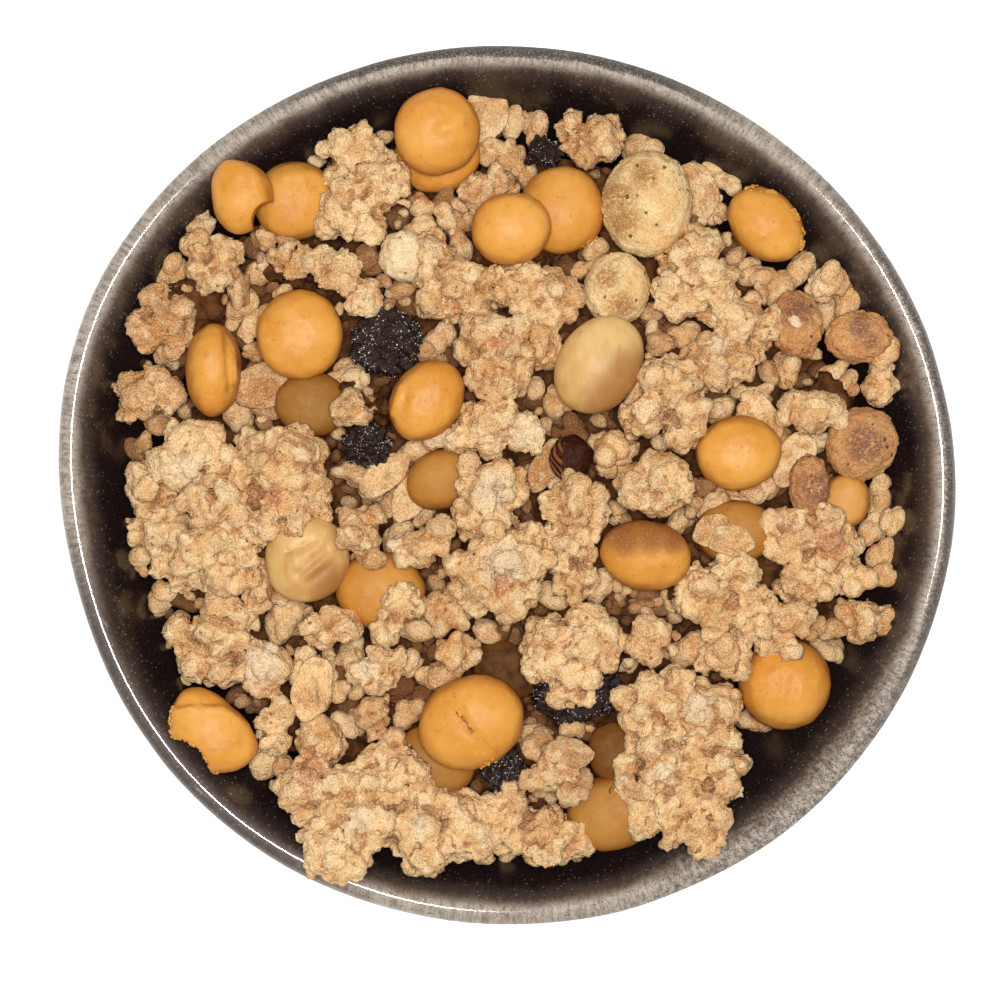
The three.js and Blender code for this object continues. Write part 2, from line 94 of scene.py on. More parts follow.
# Small baked lumps of the loose granola: x, y, length, width, turn, how toasted from 0 to 1, and for some how
# far they stand proud of the heap
LUMPS = [
    (-43.5, 33.0, 11.0, 8.5, 30, 0.5), (-52.0, 24.5, 12.5, 9.5, 60, 0.8), (-32.5, 33.5, 8.0, 7.0, 0, 0.6),
    (-23.5, 30.3, 15.0, 9.0, -40, 0.2), (-53.5, 13.8, 11.0, 8.5, 20, 0.7),
    (-47.2, 4.8, 13.5, 12.0, 30, 0.05, 3.0),
    (-41.5, -12.0, 10.0, 9.0, 0, 0.4), (-36.0, -15.0, 9.0, 7.5, 60, 0.5), (-11.5, -9.0, 9.0, 8.0, 20, 0.5),
    (22.2, 0.0, 13.5, 10.0, -20, 0.5), (45.9, 11.5, 9.0, 8.0, 20, 0.4), (56.4, 15.0, 7.0, 7.5, 0, 0.4),
    (54.0, -20.0, 9.0, 7.0, 20, 0.5), (-34.3, -36.8, 9.5, 7.0, 80, 0.1), (-22.0, -6.8, 8.5, 7.0, 60, 0.7),
    (21.9, -22.8, 9.0, 6.0, 70, 0.5), (42.5, -19.7, 8.0, 7.0, 0, 0.6), (-26.0, -21.5, 10.0, 7.0, 15, 0.2),
    (-16.8, -18.8, 9.5, 7.5, 60, 0.1), (-19.5, -27.6, 9.5, 7.5, -30, 0.2), (-23.0, 11.3, 7.5, 6.5, 0, 0.8),
    (7.0, -42.0, 10.0, 8.0, 30, 0.7), (32.7, -25.5, 10.0, 7.0, -30, 0.4), (-9.0, -18.5, 8.0, 6.5, 30, 0.8),
    (-2.6, 44.3, 9.0, 7.0, 20, 0.7), (-20.5, -34.5, 7.5, 6.5, 50, 0.8), (-28.0, -38.3, 7.0, 9.5, 0, 0.5),
    (9.5, -44.5, 7.0, 6.0, 60, 0.9), (-7.0, -24.7, 7.0, 5.5, -20, 0.6), (-9.3, -28.5, 6.0, 5.0, 30, 0.7),
    (-29.0, -30.5, 11.0, 6.5, 75, 0.2), (-22.0, -8.0, 7.0, 6.0, 0, 0.5), (16.0, 5.0, 9.0, 7.0, 15, 0.6),
    (41.0, -23.5, 6.5, 5.5, 0, 0.5), (-46.5, 40.0, 6.0, 4.5, 60, 0.4), (48.5, 30.5, 7.5, 6.0, 40, 0.3),
    (-43.8, -2.3, 10.0, 8.0, 40, 0.3, 2.0), (-45.3, -9.0, 10.0, 9.0, 0, 0.4, 1.5),
    (-5.3, 0.6, 7.0, 6.0, 60, 0.2, 2.0),
]

# Single crisps that show: x, y, length, width, turn and how toasted from 0 to 1
CRISPS = [
    (-50.5, 32.3, 6.0, 4.5, 60, 0.4), (-40.0, 27.0, 6.0, 4.5, 30, 0.4), (-13.4, 38.3, 6.0, 4.5, 20, 0.3),
    (0.9, 49.5, 6.0, 4.6, 70, 0.4), (4.2, 53.7, 6.5, 4.2, 80, 0.3), (1.2, 54.8, 5.5, 4.0, 60, 0.3),
    (20.7, 51.0, 7.0, 5.0, 0, 0.4), (31.5, 47.3, 5.5, 3.4, -20, 0.3), (33.5, 45.8, 5.0, 3.5, -40, 0.3),
    (37.5, 32.3, 6.0, 5.0, 20, 0.3), (41.0, 29.7, 6.0, 5.0, 50, 0.3), (44.4, 32.6, 6.5, 4.0, 60, 0.2),
    (48.5, 30.8, 6.5, 4.2, 60, 0.2), (48.5, 26.0, 5.5, 4.4, 80, 0.3), (51.2, 27.5, 6.0, 4.2, 70, 0.3),
    (49.7, 16.5, 6.0, 4.5, 30, 0.5), (-24.6, 16.0, 7.5, 6.0, 20, 0.0), (-16.4, -8.3, 4.6, 6.5, 0, 0.1),
    (13.7, -15.0, 6.0, 4.5, 60, 0.3), (6.9, -16.5, 6.0, 4.4, -20, 0.4), (15.5, 5.3, 6.0, 5.0, 20, 0.5),
    (33.5, -1.5, 6.0, 4.5, 0, 0.4), (31.2, -3.0, 6.0, 4.5, 60, 0.4), (38.0, -0.8, 6.0, 4.5, 40, 0.3),
    (32.4, -25.2, 6.0, 5.0, 60, 0.4), (27.2, -24.8, 6.5, 5.0, 20, 0.4), (-11.0, -28.7, 6.0, 4.5, 0, 0.4),
    (-8.0, -24.8, 6.0, 4.5, 50, 0.5), (56.0, -3.0, 6.0, 4.4, 80, 0.4), (55.2, -6.8, 6.0, 4.5, 40, 0.4),
    (56.7, -10.5, 6.0, 4.5, 60, 0.4), (58.2, -5.3, 5.0, 4.0, 60, 0.4), (53.0, -14.3, 6.0, 4.6, 20, 0.5),
    (-20.2, -10.0, 5.0, 5.5, 0, 0.9), (-14.8, -0.3, 7.0, 5.0, 75, 0.4), (-16.2, -2.0, 8.0, 4.0, 50, 0.6),
    (-36.5, 25.0, 5.0, 4.2, 40, 0.5), (-47.0, 36.5, 5.0, 4.0, 20, 0.5),
    (26.5, 22.5, 5.5, 4.5, 0, 0.5), (37.8, 13.0, 6.0, 4.5, 20, 0.4), (42.0, 17.5, 6.0, 4.6, 70, 0.5),
    (36.0, 10.0, 5.0, 4.0, 70, 0.5), (56.8, 20.0, 5.5, 4.4, 60, 0.4), (57.0, -13.5, 5.0, 4.0, 10, 0.5),
]

# Oat flakes: x, y, length, width, turn and how toasted from 0 to 1
FLAKES = [
    (-3.3, 56.2, 9.5, 7.0, 70, 0.2), (28.5, 44.5, 9.0, 6.5, -60, 0.5), (-18.3, 1.5, 9.0, 5.0, 40, 0.4),
    (-14.3, -1.5, 9.0, 5.0, 60, 0.3), (-36.8, 15.0, 9.0, 7.0, 20, 0.9), (38.4, 10.5, 9.0, 4.5, -55, 0.1),
    (43.2, 3.8, 9.0, 6.0, 60, 0.1), (-29.2, -30.5, 10.0, 6.0, 75, 0.2), (9.5, -40.0, 7.0, 4.5, -10, 1.0),
    (33.5, -8.5, 7.0, 5.0, 0, 0.6), (30.6, -6.8, 6.0, 4.5, 30, 0.8), (6.0, 3.0, 9.0, 4.5, 60, 0.9),
]

# Pale spots of the baked clusters, the pale, clear grains in their tops, and red spots: x, y, radius
PALE_SPOTS = [(-36.8, -27.0, 3.0), (28.2, -33.0, 2.2), (23.5, -43.0, 1.6), (-48.5, 2.4, 2.4),
              (31.5, 21.3, 1.8), (-2.0, -1.0, 3.0), (-1.0, -12.0, 3.4), (-21.3, -27.0, 2.0),
              (-13.0, -51.0, 1.6), (-22.0, -50.0, 2.0), (-10.0, 7.0, 2.0), (3.0, 8.0, 2.6)]
PALE_GRAINS = [(-36.8, -27.0, 2.4), (-35.6, -25.0, 1.5), (28.2, -33.0, 2.0), (28.6, -34.6, 1.3),
               (23.5, -43.0, 1.4), (-48.5, 2.4, 2.3), (-46.6, 0.8, 1.5), (31.5, 21.3, 1.2),
               (-21.3, -27.0, 1.2), (-16.4, -8.6, 1.6), (3.5, 7.0, 1.3), (-1.0, -12.0, 1.3),
               (43.2, 24.6, 1.2)]
RED_SPOTS = [(-29.3, -43.0, 2.4), (48.4, -9.0, 2.4), (-0.9, -14.7, 1.6), (-35.0, -1.8, 1.8),
             (-32.5, -8.0, 1.5), (13.0, 29.5, 1.0), (-23.3, -25.7, 1.2), (-1.0, 21.0, 1.2)]


# ---- Materials ----

def tone(code):
    """A colour from the six letters of its screen code."""
    parts = [int(code[i:i + 2], 16) / 255 for i in (0, 2, 4)]
    return [c / 12.92 if c <= 0.04045 else ((c + 0.055) / 1.055) ** 2.4 for c in parts] + [1.0]


def assign(thing, settings):
    """Sets the named values of a node, a texture or a modifier."""
    for key, value in settings.items():
        setattr(thing, key, value)


def fill(node, values):
    """Sets the named sockets of a node."""
    for name, value in values.items():
        node.inputs[name].default_value = value


class Wire:
    """What leaves one socket of a material. Sums and products of numbers add Math nodes."""

    def __init__(self, finish, socket):
        self.finish = finish
        self.socket = socket

    def __add__(self, other):
        return self.finish.math("ADD", self, other)

    def __sub__(self, other):
        return self.finish.math("SUBTRACT", self, other)

    def __rsub__(self, other):
        return self.finish.math("SUBTRACT", other, self)

    def __mul__(self, other):
        return self.finish.math("MULTIPLY", self, other)

    __radd__ = __add__
    __rmul__ = __mul__


class Finish:
    """A material whose pattern is worked out in millimetres over the piece. It is given how strongly it
    reflects, how much light soaks in, how deep, and what share of that depth each colour reaches."""

    def __init__(self, name, specular, soft=0.0, depth=1.0, spread=(1.0, 0.2, 0.1)):
        self.material = bpy.data.materials.new(name)
        self.material.use_nodes = True
        self.tree = self.material.node_tree
        self.shader = self.tree.nodes["Principled BSDF"]
        fill(self.shader, {"Specular IOR Level": specular, "Subsurface Weight": soft,
                           "Subsurface Scale": depth * MM, "Subsurface Radius": spread})
        self.place = self.scaled(self.node("ShaderNodeTexCoord", {}, {}, "Object"), 1 / MM)
        self.colour = None

    def node(self, kind, settings, inputs, output=None):
        """Adds one node: its settings first, then the links, colour codes and values of its sockets."""
        node = self.tree.nodes.new(kind)
        assign(node, settings)
        live = [socket for socket in node.inputs if socket.enabled]
        named = inputs.items() if isinstance(inputs, dict) else enumerate(inputs)
        for key, value in named:
            socket = live[key] if isinstance(key, int) else next(s for s in live if s.name == key)
            if isinstance(value, Wire):
                self.tree.links.new(value.socket, socket)
            else:
                socket.default_value = tone(value) if isinstance(value, str) else value
        leaving = [socket for socket in node.outputs if socket.enabled]
        return Wire(self, leaving[0] if output is None else next(s for s in leaving if s.name == output))

    def math(self, operation, *values):
        return self.node("ShaderNodeMath", {"operation": operation}, values)

    def vector(self, operation, *values):
        return self.node("ShaderNodeVectorMath", {"operation": operation}, values)

    def scaled(self, vector, scale):
        return self.node("ShaderNodeVectorMath", {"operation": "SCALE"}, {"Vector": vector, "Scale": scale})

    def axis(self, name):
        """The place along one axis, in millimetres."""
        return self.node("ShaderNodeSeparateXYZ", {}, {"Vector": self.place}, name)

    def attribute(self, name):
        return self.node("ShaderNodeAttribute", {"attribute_name": name}, {}, "Fac")

    def clouds(self, size, detail=2.0, rough=0.5, place=None):
        """Soft noise from 0 to 1, with features of about that size."""
        return self.node("ShaderNodeTexNoise", {}, {
            "Vector": place or self.place, "Scale": 1 / size, "Detail": detail, "Roughness": rough}, "Fac")

    def cells(self, size, output="Distance"):
        """Scattered cells of about that size: the distance from their middles, or a colour for each."""
        return self.node("ShaderNodeTexVoronoi", {}, {"Vector": self.place, "Scale": 1 / size}, output)

    def rise(self, value, low, high):
        """0 below low, 1 above high, smooth between; falls when low is the larger."""
        return self.node("ShaderNodeMapRange", {"interpolation_type": "SMOOTHSTEP"}, {
            "Value": value, "From Min": low, "From Max": high})

    def towards(self, way, x, y, start, full):
        """0 to 1 on the side of the bowl that x, y points to, from the flat direction of each place."""
        return self.rise(self.vector("DOT_PRODUCT", way, (x, y, 0.0)), start, full)

    def stroke(self, x0, y0, x1, y1, width):
        """1 on a line seen from above, 0 beyond its width on either side."""
        x, y = self.axis("X"), self.axis("Y")
        length = math.hypot(x1 - x0, y1 - y0)
        run_x, run_y = (x1 - x0) / length, (y1 - y0) / length
        along = (x - x0) * run_x + (y - y0) * run_y
        wander = (self.clouds(0.9, 2.0) - 0.5) * 1.4
        across = self.math("ABSOLUTE", (y - y0) * run_x - (x - x0) * run_y + wander)
        return self.rise(across, width, 0.0) * self.rise(along, -width, width) * self.rise(
            along, length + width, length - width)

    def strokes(self, rows):
        return sum((self.stroke(*row) for row in rows[1:]), self.stroke(*rows[0]))

    def blend(self, mask, first, second):
        return self.node("ShaderNodeMix", {"data_type": "RGBA"}, [mask, first, second])

    def coat(self, mask, colour):
        """Lays a colour over what the material has so far, where the mask says."""
        self.colour = self.blend(mask, self.colour, colour)

    def bump(self, height, depth, under=None):
        """Relief in the light only, of that depth in millimetres."""
        inputs = {"Height": height, "Distance": depth * MM, "Strength": 1.0}
        if under:
            inputs["Normal"] = under
        return self.node("ShaderNodeBump", {}, inputs)

    def wear(self, roughness, relief, coat=None):
        """Links the last steps of the pattern to the shader."""
        sockets = {"Base Color": self.colour, "Roughness": roughness, "Normal": relief, "Coat Weight": coat}
        for name, wire in sockets.items():
            if wire:
                self.tree.links.new(wire.socket, self.shader.inputs[name])
        return self.material


def baked_oats():
    """Baked oats and crisps: beige and sandy, with toasted, pale and red places, and painted shade and
    highlights.
    """
    f = Finish("baked_oats", 0.2, 0.08, 1.2, (1.0, 0.42, 0.16))
    hollow, toast_and_depth_shade = f.attribute("hollow"), f.attribute("toast_and_depth_shade")
    broad, patch = f.clouds(6.0, 1.0), f.clouds(1.6, 2.0, 0.6)
    sand, sugar = f.clouds(0.34, 1.0, 0.6), f.clouds(0.17, 0.0)
    lobes = f.node("ShaderNodeSeparateColor", {}, [f.cells(2.6, output="Color")], "Red")
    grain = f.clouds(0.8, 1.0, 0.7)
    f.colour = f.blend(f.rise(broad + toast_and_depth_shade * 0.5, 0.40, 1.05), "fbd095", "d69652")
    f.coat(f.rise(lobes, 0.55, 0.85) * 0.5, "fbdfac")
    f.coat(f.rise(lobes, 0.40, 0.15) * 0.45, "c88d50")
    f.coat(f.rise(patch + toast_and_depth_shade * 0.15, 0.54, 0.76) * 0.6, "ad6c38")
    # The deepest brown: the darkest real toasting, and mostly painted shade on loose pieces that lie low in
    # the heap.
    deep = f.rise(toast_and_depth_shade, 0.7, 1.5)
    f.coat(deep * 0.9, "643a1c")
    # Painted shade: browner and darker the deeper a place lies in a hollow or dug pit.
    f.coat(f.rise(hollow + patch * 0.3, 0.36, 1.15) * 0.7, "9a5c2e")
    f.coat(f.rise(hollow, 1.10, 2.00) * 0.8, "5a2f18")
    # Painted highlight: lighter on the ridges, where the hollow value falls below nothing.
    f.coat(f.rise(hollow, -0.10, -0.75) * 0.18 * (1 - deep), "fee6b8")
    pale = f.rise(f.attribute("pale") * 0.6 + grain, 0.62, 0.92)
    f.coat(pale * 0.5, "f1dfc0")
    red = f.rise(f.attribute("red") * 0.6 + grain, 0.66, 0.96)
    f.coat(red * 0.6, "bd6743")
    f.coat(f.rise(sand, 0.48, 0.34) * 0.28, "a4642f")
    f.coat(f.rise(sand, 0.54, 0.68) * 0.3 * (1 - deep * 0.8), "fde6ba")
    f.coat(f.rise(sugar, 0.56, 0.74) * 0.35 * (1 - deep * 0.8), "fdedcd")
    f.coat(f.rise(sugar, 0.44, 0.30) * 0.22, "96592a")
    relief = f.bump(sand + sugar * 0.5, 0.22, f.bump(grain, 0.3))
    return f.wear(0.75 + sugar * 0.2, relief)


def caramel():
    """A satin caramel coating: warm, a little mottled, with a few specks, some toasted dust, and painted
    shade.
    """
    f = Finish("caramel_coating", 0.2, 0.15, 1.5, (1.0, 0.42, 0.1))
    broad, patch, fine = f.clouds(8.0), f.clouds(1.7, 3.0, 0.6), f.clouds(0.3, 2.0)
    dust = f.attribute("dust")
    f.colour = f.blend(f.rise(broad, 0.3, 0.7), "e1a14a", "d48f37")
    f.coat(f.rise(patch, 0.5, 0.75) * 0.4, "e4ab5a")
    f.coat(f.rise(patch, 0.42, 0.28) * 0.4, "bd7529")
    # Painted shade over the drops that lie low in the heap, a little mottled.
    f.coat(f.attribute("drop_shade") * (patch * 0.4 + 0.8), "3c1c0a")
    # Painted shade in the hollows.
    f.coat(f.rise(f.attribute("hollow"), 0.25, 0.9) * 0.7, "a0581c")
    f.coat(f.attribute("yellow") * 0.6, "d69c54")
    # Painted shade: darker on the steep sides, where less of the overhead light falls.
    f.coat(f.rise(f.attribute("side") + (patch - 0.5) * 0.2, 0.15, 0.85) * 0.6, "ad5e1b")
    specks = f.rise(f.cells(2.4), 0.09, 0.05)
    f.coat(specks * 0.5, "94582a")
    f.coat(f.rise(fine, 0.58, 0.75) * 0.25 * (1 - f.attribute("drop_shade")), "f5cb8a")
    crust = dust * f.rise(f.clouds(0.45, 3.0, 0.7) + dust * 0.2, 0.42, 0.62)
    f.coat(crust * 0.85, "8a5028")
    f.coat(dust * f.rise(fine, 0.6, 0.7) * 0.3, "e8c79c")
    groove, crack = f.strokes(CREASES), f.strokes(CRACKS)
    # Painted shade along the creases, and deep painted shade in the open cracks.
    f.coat(groove * 0.15, "a8662a")
    f.coat(crack * 0.95, "4a260c")
    relief = f.bump(patch * 0.8 + fine * 0.3 + crust * 1.2 - groove * 0.5 - crack * 3.0, 0.1)
    rough = f.rise(patch, 0.2, 0.8) * 0.16 + 0.34 + dust * 0.3 + f.attribute("drop_shade") * 0.35
    return f.wear(rough, relief)


def nut_skin():
    """Smooth pale nut, waxy, with fine streaks and painted shade in its creases and over part of one side."""
    f = Finish("pale_nut", 0.4, 0.2, 2.0, (1.0, 0.55, 0.2))
    drawn_out = f.vector("MULTIPLY", f.place, (0.9, 0.35, 0.6))
    broad, streak = f.clouds(8.0, 2.0), f.clouds(1.2, 3.0, 0.6, drawn_out)
    f.colour = f.blend(f.rise(broad, 0.35, 0.65), "e0b878", "cd9c56")
    f.coat(f.rise(streak, 0.52, 0.75) * 0.4, "ecd09a")
    f.coat(f.rise(streak, 0.45, 0.3) * 0.35, "b98644")
    # Darker places: on nut_01 a painted shade over its lower right side.
    f.coat(f.attribute("brown") * 0.75, "9c6028")
    # Painted shade in the creases.
    f.coat(f.rise(f.attribute("hollow"), 0.15, 0.7) * 0.6, "a8743c")
    relief = f.bump(streak + f.clouds(0.4, 2.0) * 0.2, 0.1)
    return f.wear(f.rise(streak, 0.2, 0.8) * 0.15 + 0.4, relief)


def puffed(name, light, middle, brown, dusting):
    """Porous puffed grain: granular, with small dark pores, a dusting of another colour and painted shade."""
    f = Finish(name, 0.25, 0.12, 1.0, (1.0, 0.45, 0.18))
    broad, patch = f.clouds(5.0, 2.0), f.clouds(1.5, 3.0, 0.6)
    sand, sugar = f.clouds(0.36, 2.0, 0.6), f.clouds(0.18, 2.0, 0.6)
    pores = f.rise(f.cells(2.3) + patch * 0.15, 0.23, 0.15)
    f.colour = f.blend(f.rise(broad, 0.35, 0.65), light, middle)
    f.coat(f.rise(patch, 0.54, 0.74) * 0.35, brown)
    cover = f.attribute("dust") * f.rise(f.clouds(0.5, 3.0, 0.7) + patch * 0.3, 0.45, 0.7)
    f.coat(cover * 0.9, dusting)
    f.coat(f.rise(sand, 0.50, 0.34) * 0.45, brown)
    # Painted shade in the hollows.
    f.coat(f.rise(f.attribute("hollow"), 0.4, 1.2) * 0.6, brown)
    f.coat(pores * 0.85, "5c3519")
    f.coat(f.rise(sugar, 0.55, 0.68) * 0.4, "f9e4c0")
    f.coat(f.attribute("pale") * 0.3, "fdf0d6")
    relief = f.bump(sand + sugar * 0.5 - pores, 0.25, f.bump(patch, 0.3))
    return f.wear(sugar * 0.2 + 0.68, relief)


def berry_skin():
    """Dried berry: black-purple and wrinkled, dusted with fine sugar."""
    f = Finish("sugared_berry", 0.45)
    patch, powder = f.clouds(2.6, 2.0), f.clouds(0.22, 2.0, 0.7)
    # Flecks of fine sugar dust, painted lighter to stand for glints too: partly real sugar, partly painted
    # highlight.
    glint = f.rise(powder + f.clouds(1.6, 2.0) * 0.35, 0.80, 0.92)
    f.colour = f.blend(patch, "150a07", "34170f")
    f.coat(glint * 0.7, "85746a")
    relief = f.bump(f.clouds(0.8, 3.0, 0.6) + glint * 0.5 + powder * 0.5, 0.35)
    return f.wear(f.rise(patch, 0.3, 0.7) * 0.2 + 0.35, relief)


def sugar_grains():
    """Clear white sugar, a little dusty."""
    f = Finish("sugar", 0.6, 0.3, 0.4)
    cloud = f.clouds(0.5, 2.0)
    f.colour = f.blend(cloud, "f2e9df", "c9b9ad")
    return f.wear(cloud * 0.3 + 0.1, f.bump(cloud, 0.05))


def seed_skin():
    """Brown seed with fine ribs along its left side."""
    f = Finish("brown_seed", 0.15)
    ribs = f.node("ShaderNodeTexWave", {"bands_direction": "DIAGONAL"}, {
        "Vector": f.place, "Scale": 0.4, "Distortion": 3.0, "Detail": 3.0}, "Fac")
    pale_side = f.rise(f.axis("X") + f.clouds(1.0) * 1.5, 9.4, 8.6)
    f.colour = f.blend(f.clouds(0.9, 3.0), "1f0b05", "4a1f0d")
    f.coat(pale_side * f.rise(ribs, 0.3, 0.7) * 0.8, "8f5a30")
    relief = f.bump(ribs * pale_side + f.clouds(0.5, 3.0), 0.3)
    return f.wear(f.clouds(0.6) * 0.3 + 0.35, relief)


def shaded_crumb_bed():
    """The crumbs deep in the heap, coloured dark as painted shade for the deep gaps."""
    f = Finish("shaded_crumb_bed", 0.1)
    patch, sand = f.clouds(2.0, 3.0, 0.6), f.clouds(0.5, 3.0, 0.7)
    f.colour = f.blend(f.rise(patch, 0.35, 0.65), "6e4324", "3a2012")
    f.coat(f.rise(sand, 0.5, 0.7) * 0.4, "94683c")
    return f.wear(sand * 0.2 + 0.75, f.bump(sand, 0.4))


def stoneware():
    """Dark glaze that breaks to a speckled grey cream over the lip, and bare clay under the foot."""
    f = Finish("stoneware_glaze", 0.5)
    fill(f.shader, {"Coat Roughness": 0.05, "Coat IOR": 1.5})
    inward = f.attribute("inward")
    way = f.vector("NORMALIZE", f.vector("MULTIPLY", f.place, (1.0, 1.0, 0.0)))
    depth = f.node("ShaderNodeCombineXYZ", {}, {"Z": inward * 0.2})
    along = f.vector("ADD", f.scaled(way, LIP_RADIUS), depth)
    streaks, runs = f.clouds(0.55, 3.0, 0.7, along), f.clouds(5.0, 1.0, 0.5, along)
    mottle, blots = f.clouds(0.3, 2.0, 0.7), f.clouds(0.8, 2.0, 0.65)
    top, right = f.towards(way, 0.0, 1.0, 0.80, 0.97), f.towards(way, 0.97, 0.10, 0.70, 0.96)
    front_right = f.towards(way, 0.68, -0.73, 0.86, 0.98)
    front_left = f.towards(way, -0.78, -0.62, 0.80, 0.95)
    reach = inward + (streaks - 0.5) * 2.2 + (runs - 0.5) * 1.2 - front_right * 1.4
    lip = f.rise(reach, 2.1, 0.5) * f.rise(inward, -6.0, -3.2)
    edge = f.rise(inward + (mottle - 0.5) * 1.6, -0.3, -1.0) * (top * 0.85 + right * 0.8)
    lip = lip * (1 - front_left * 0.9) * (1 - edge)
    f.colour = f.blend(f.rise(mottle, 0.35, 0.7), "1a1112", "2a1e1c")
    near_lip = f.rise(reach, 4.6, 0.8) * f.rise(inward, -13.0, -3.0) * (0.85 - front_left * 0.5 - top * 0.3)
    f.coat(near_lip, "66574f")
    f.coat(lip, f.blend(f.rise(streaks * 0.6 + mottle * 0.4, 0.38, 0.60), "82746a", "b9ac9d"))
    f.coat(edge * 0.85, f.blend(f.rise(mottle, 0.45, 0.62), "332c2a", "847a73"))
    specks = f.rise(mottle + front_right * 0.06, 0.50, 0.60) * f.rise(blots + front_right * 0.08, 0.50, 0.60)
    f.coat(specks * 0.8, "2b2320")
    grit = f.rise(f.cells(0.9), 0.20, 0.12) * f.rise(reach, 7.0, 3.0) * (1 - lip)
    grit = grit + f.rise(mottle, 0.58, 0.72) * f.rise(reach, 4.5, 1.0) * 0.6
    f.coat(grit * 0.55, "a79b8f")
    clay = f.rise(f.axis("Z"), 0.9, 0.5)
    f.coat(clay, f.blend(mottle, "8d7a66", "a8937b"))
    rough = f.rise(mottle, 0.3, 0.8) * 0.12 + 0.24 + f.rise(inward, 2.0, 0.8) * 0.3
    rough = f.math("MAXIMUM", rough, clay * 0.85)
    relief = f.bump(streaks * lip + mottle * 0.3, 0.1)
    shine = 1 - f.towards(way, 0.0, 1.0, 0.45, 0.75)
    shine = shine * (1 - f.towards(way, 0.60, -0.80, 0.60, 0.85)) * (1 - clay)
    return f.wear(rough, relief, shine * 0.6)


OATS = baked_oats()
CARAMEL = caramel()
NUT = nut_skin()
PALE = puffed("pale_puff", "fbdda4", "f0c484", "bd8444", "a87038")
TOASTED = puffed("toasted_puff", "e2a768", "cd8d58", "8f5830", "7c4b3e")
BERRY = berry_skin()
SUGAR = sugar_grains()
SEED = seed_skin()
BED = shaded_crumb_bed()
GLAZE = stoneware()


# ---- Working with meshes ----

# Corners of a CAD mesh that are nearer than this are one
WELD = 0.02


def merged(node):
    """A CAD node's mesh with its loose triangles joined up."""
    bm = bmesh.new()
    bm.from_mesh(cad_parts[node].data)
    bmesh.ops.remove_doubles(bm, verts=bm.verts, dist=WELD * MM)
    return bm


def piece(name, bm, material):
    """Makes an object of a mesh, in one material, riding on the one body."""
    mesh = bpy.data.meshes.new(name)
    bm.to_mesh(mesh)
    bm.free()
    mesh.materials.append(material)
    obj = bpy.data.objects.new(name, mesh)
    bpy.context.scene.collection.objects.link(obj)
    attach(obj, "root")
    return obj


def modify(obj, kind, **settings):
    assign(obj.modifiers.new(kind.lower(), kind), settings)


def settle(obj):
    """Turns a piece's modifiers into its mesh."""
    depsgraph = bpy.context.evaluated_depsgraph_get()
    mesh = bpy.data.meshes.new_from_object(obj.evaluated_get(depsgraph))
    obj.modifiers.clear()
    obj.data = mesh
    mesh.shade_smooth()


def relief(obj, kind, size, height, **settings):
    """Moves a piece's surface in and out by a pattern with features of that size."""
    texture = bpy.data.textures.new(obj.name + "_" + kind.lower(), kind)
    assign(texture, {"noise_scale": size * MM, **settings})
    modify(obj, "DISPLACE", texture=texture, texture_coords="LOCAL", mid_level=0.5, strength=height * MM)


def read(mesh, what):
    flat = np.empty(len(mesh.vertices) * 3, np.float32)
    mesh.vertices.foreach_get(what, flat)
    return flat.reshape(-1, 3)


def places(mesh):
    """The vertices' places in millimetres, as an array."""
    return read(mesh, "co") / MM


def normals(mesh):
    return read(mesh, "normal")


def move(mesh, points):
    mesh.vertices.foreach_set("co", (points * MM).astype(np.float32).ravel())
    mesh.update()


def note(mesh, name, values):
    """Keeps a number for each vertex, for the material to read."""
    attribute = mesh.attributes.get(name) or mesh.attributes.new(name, "FLOAT", "POINT")
    attribute.data.foreach_set("value", np.broadcast_to(values, len(mesh.vertices)).astype(np.float32))


def note_hollows(mesh, rounds, depth, least=-1.0):
    """Notes how far each vertex lies under the smoothed surface round it: 1 at that depth in millimetres, and
    less than nothing on ridges."""
    ends = np.empty(len(mesh.edges) * 2, np.int32)
    mesh.edges.foreach_get("vertices", ends)
    first, second = ends[0::2], ends[1::2]
    count = len(mesh.vertices)
    share = np.bincount(first, minlength=count) + np.bincount(second, minlength=count)
    start = places(mesh)
    points = start.copy()
    for _ in range(rounds):
        total = [np.bincount(first, points[second, k], count) + np.bincount(second, points[first, k], count)
                 for k in range(3)]
        points = np.stack(total, 1) / np.maximum(share, 1)[:, None]
    under = np.einsum("ij,ij->i", points - start, normals(mesh))
    note(mesh, "hollow", np.maximum(np.clip(under / depth, -1, 2), least))


def note_spots(mesh, name, spots):
    """Notes how near each vertex is to round spots, seen from above."""
    points = places(mesh)
    near = np.zeros(len(points))
    for x, y, radius in spots:
        away = np.hypot(points[:, 0] - x, points[:, 1] - y) / radius
        near = np.maximum(near, np.exp(-away ** 4))
    note(mesh, name, near)


def limits(node):
    """The corners of a CAD node's box in millimetres."""
    return (np.array(corner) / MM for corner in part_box(node))


def fit(obj, node):
    """Stretches a rounded-off copy of a CAD node back to the node's own box."""
    low, high = limits(node)
    points = places(obj.data)
    centre, span = (points.max(0) + points.min(0)) / 2, points.max(0) - points.min(0)
    move(obj.data, (points - centre) * (high - low) / span + (low + high) / 2)


# ---- The bowl ----

SECTORS = 72


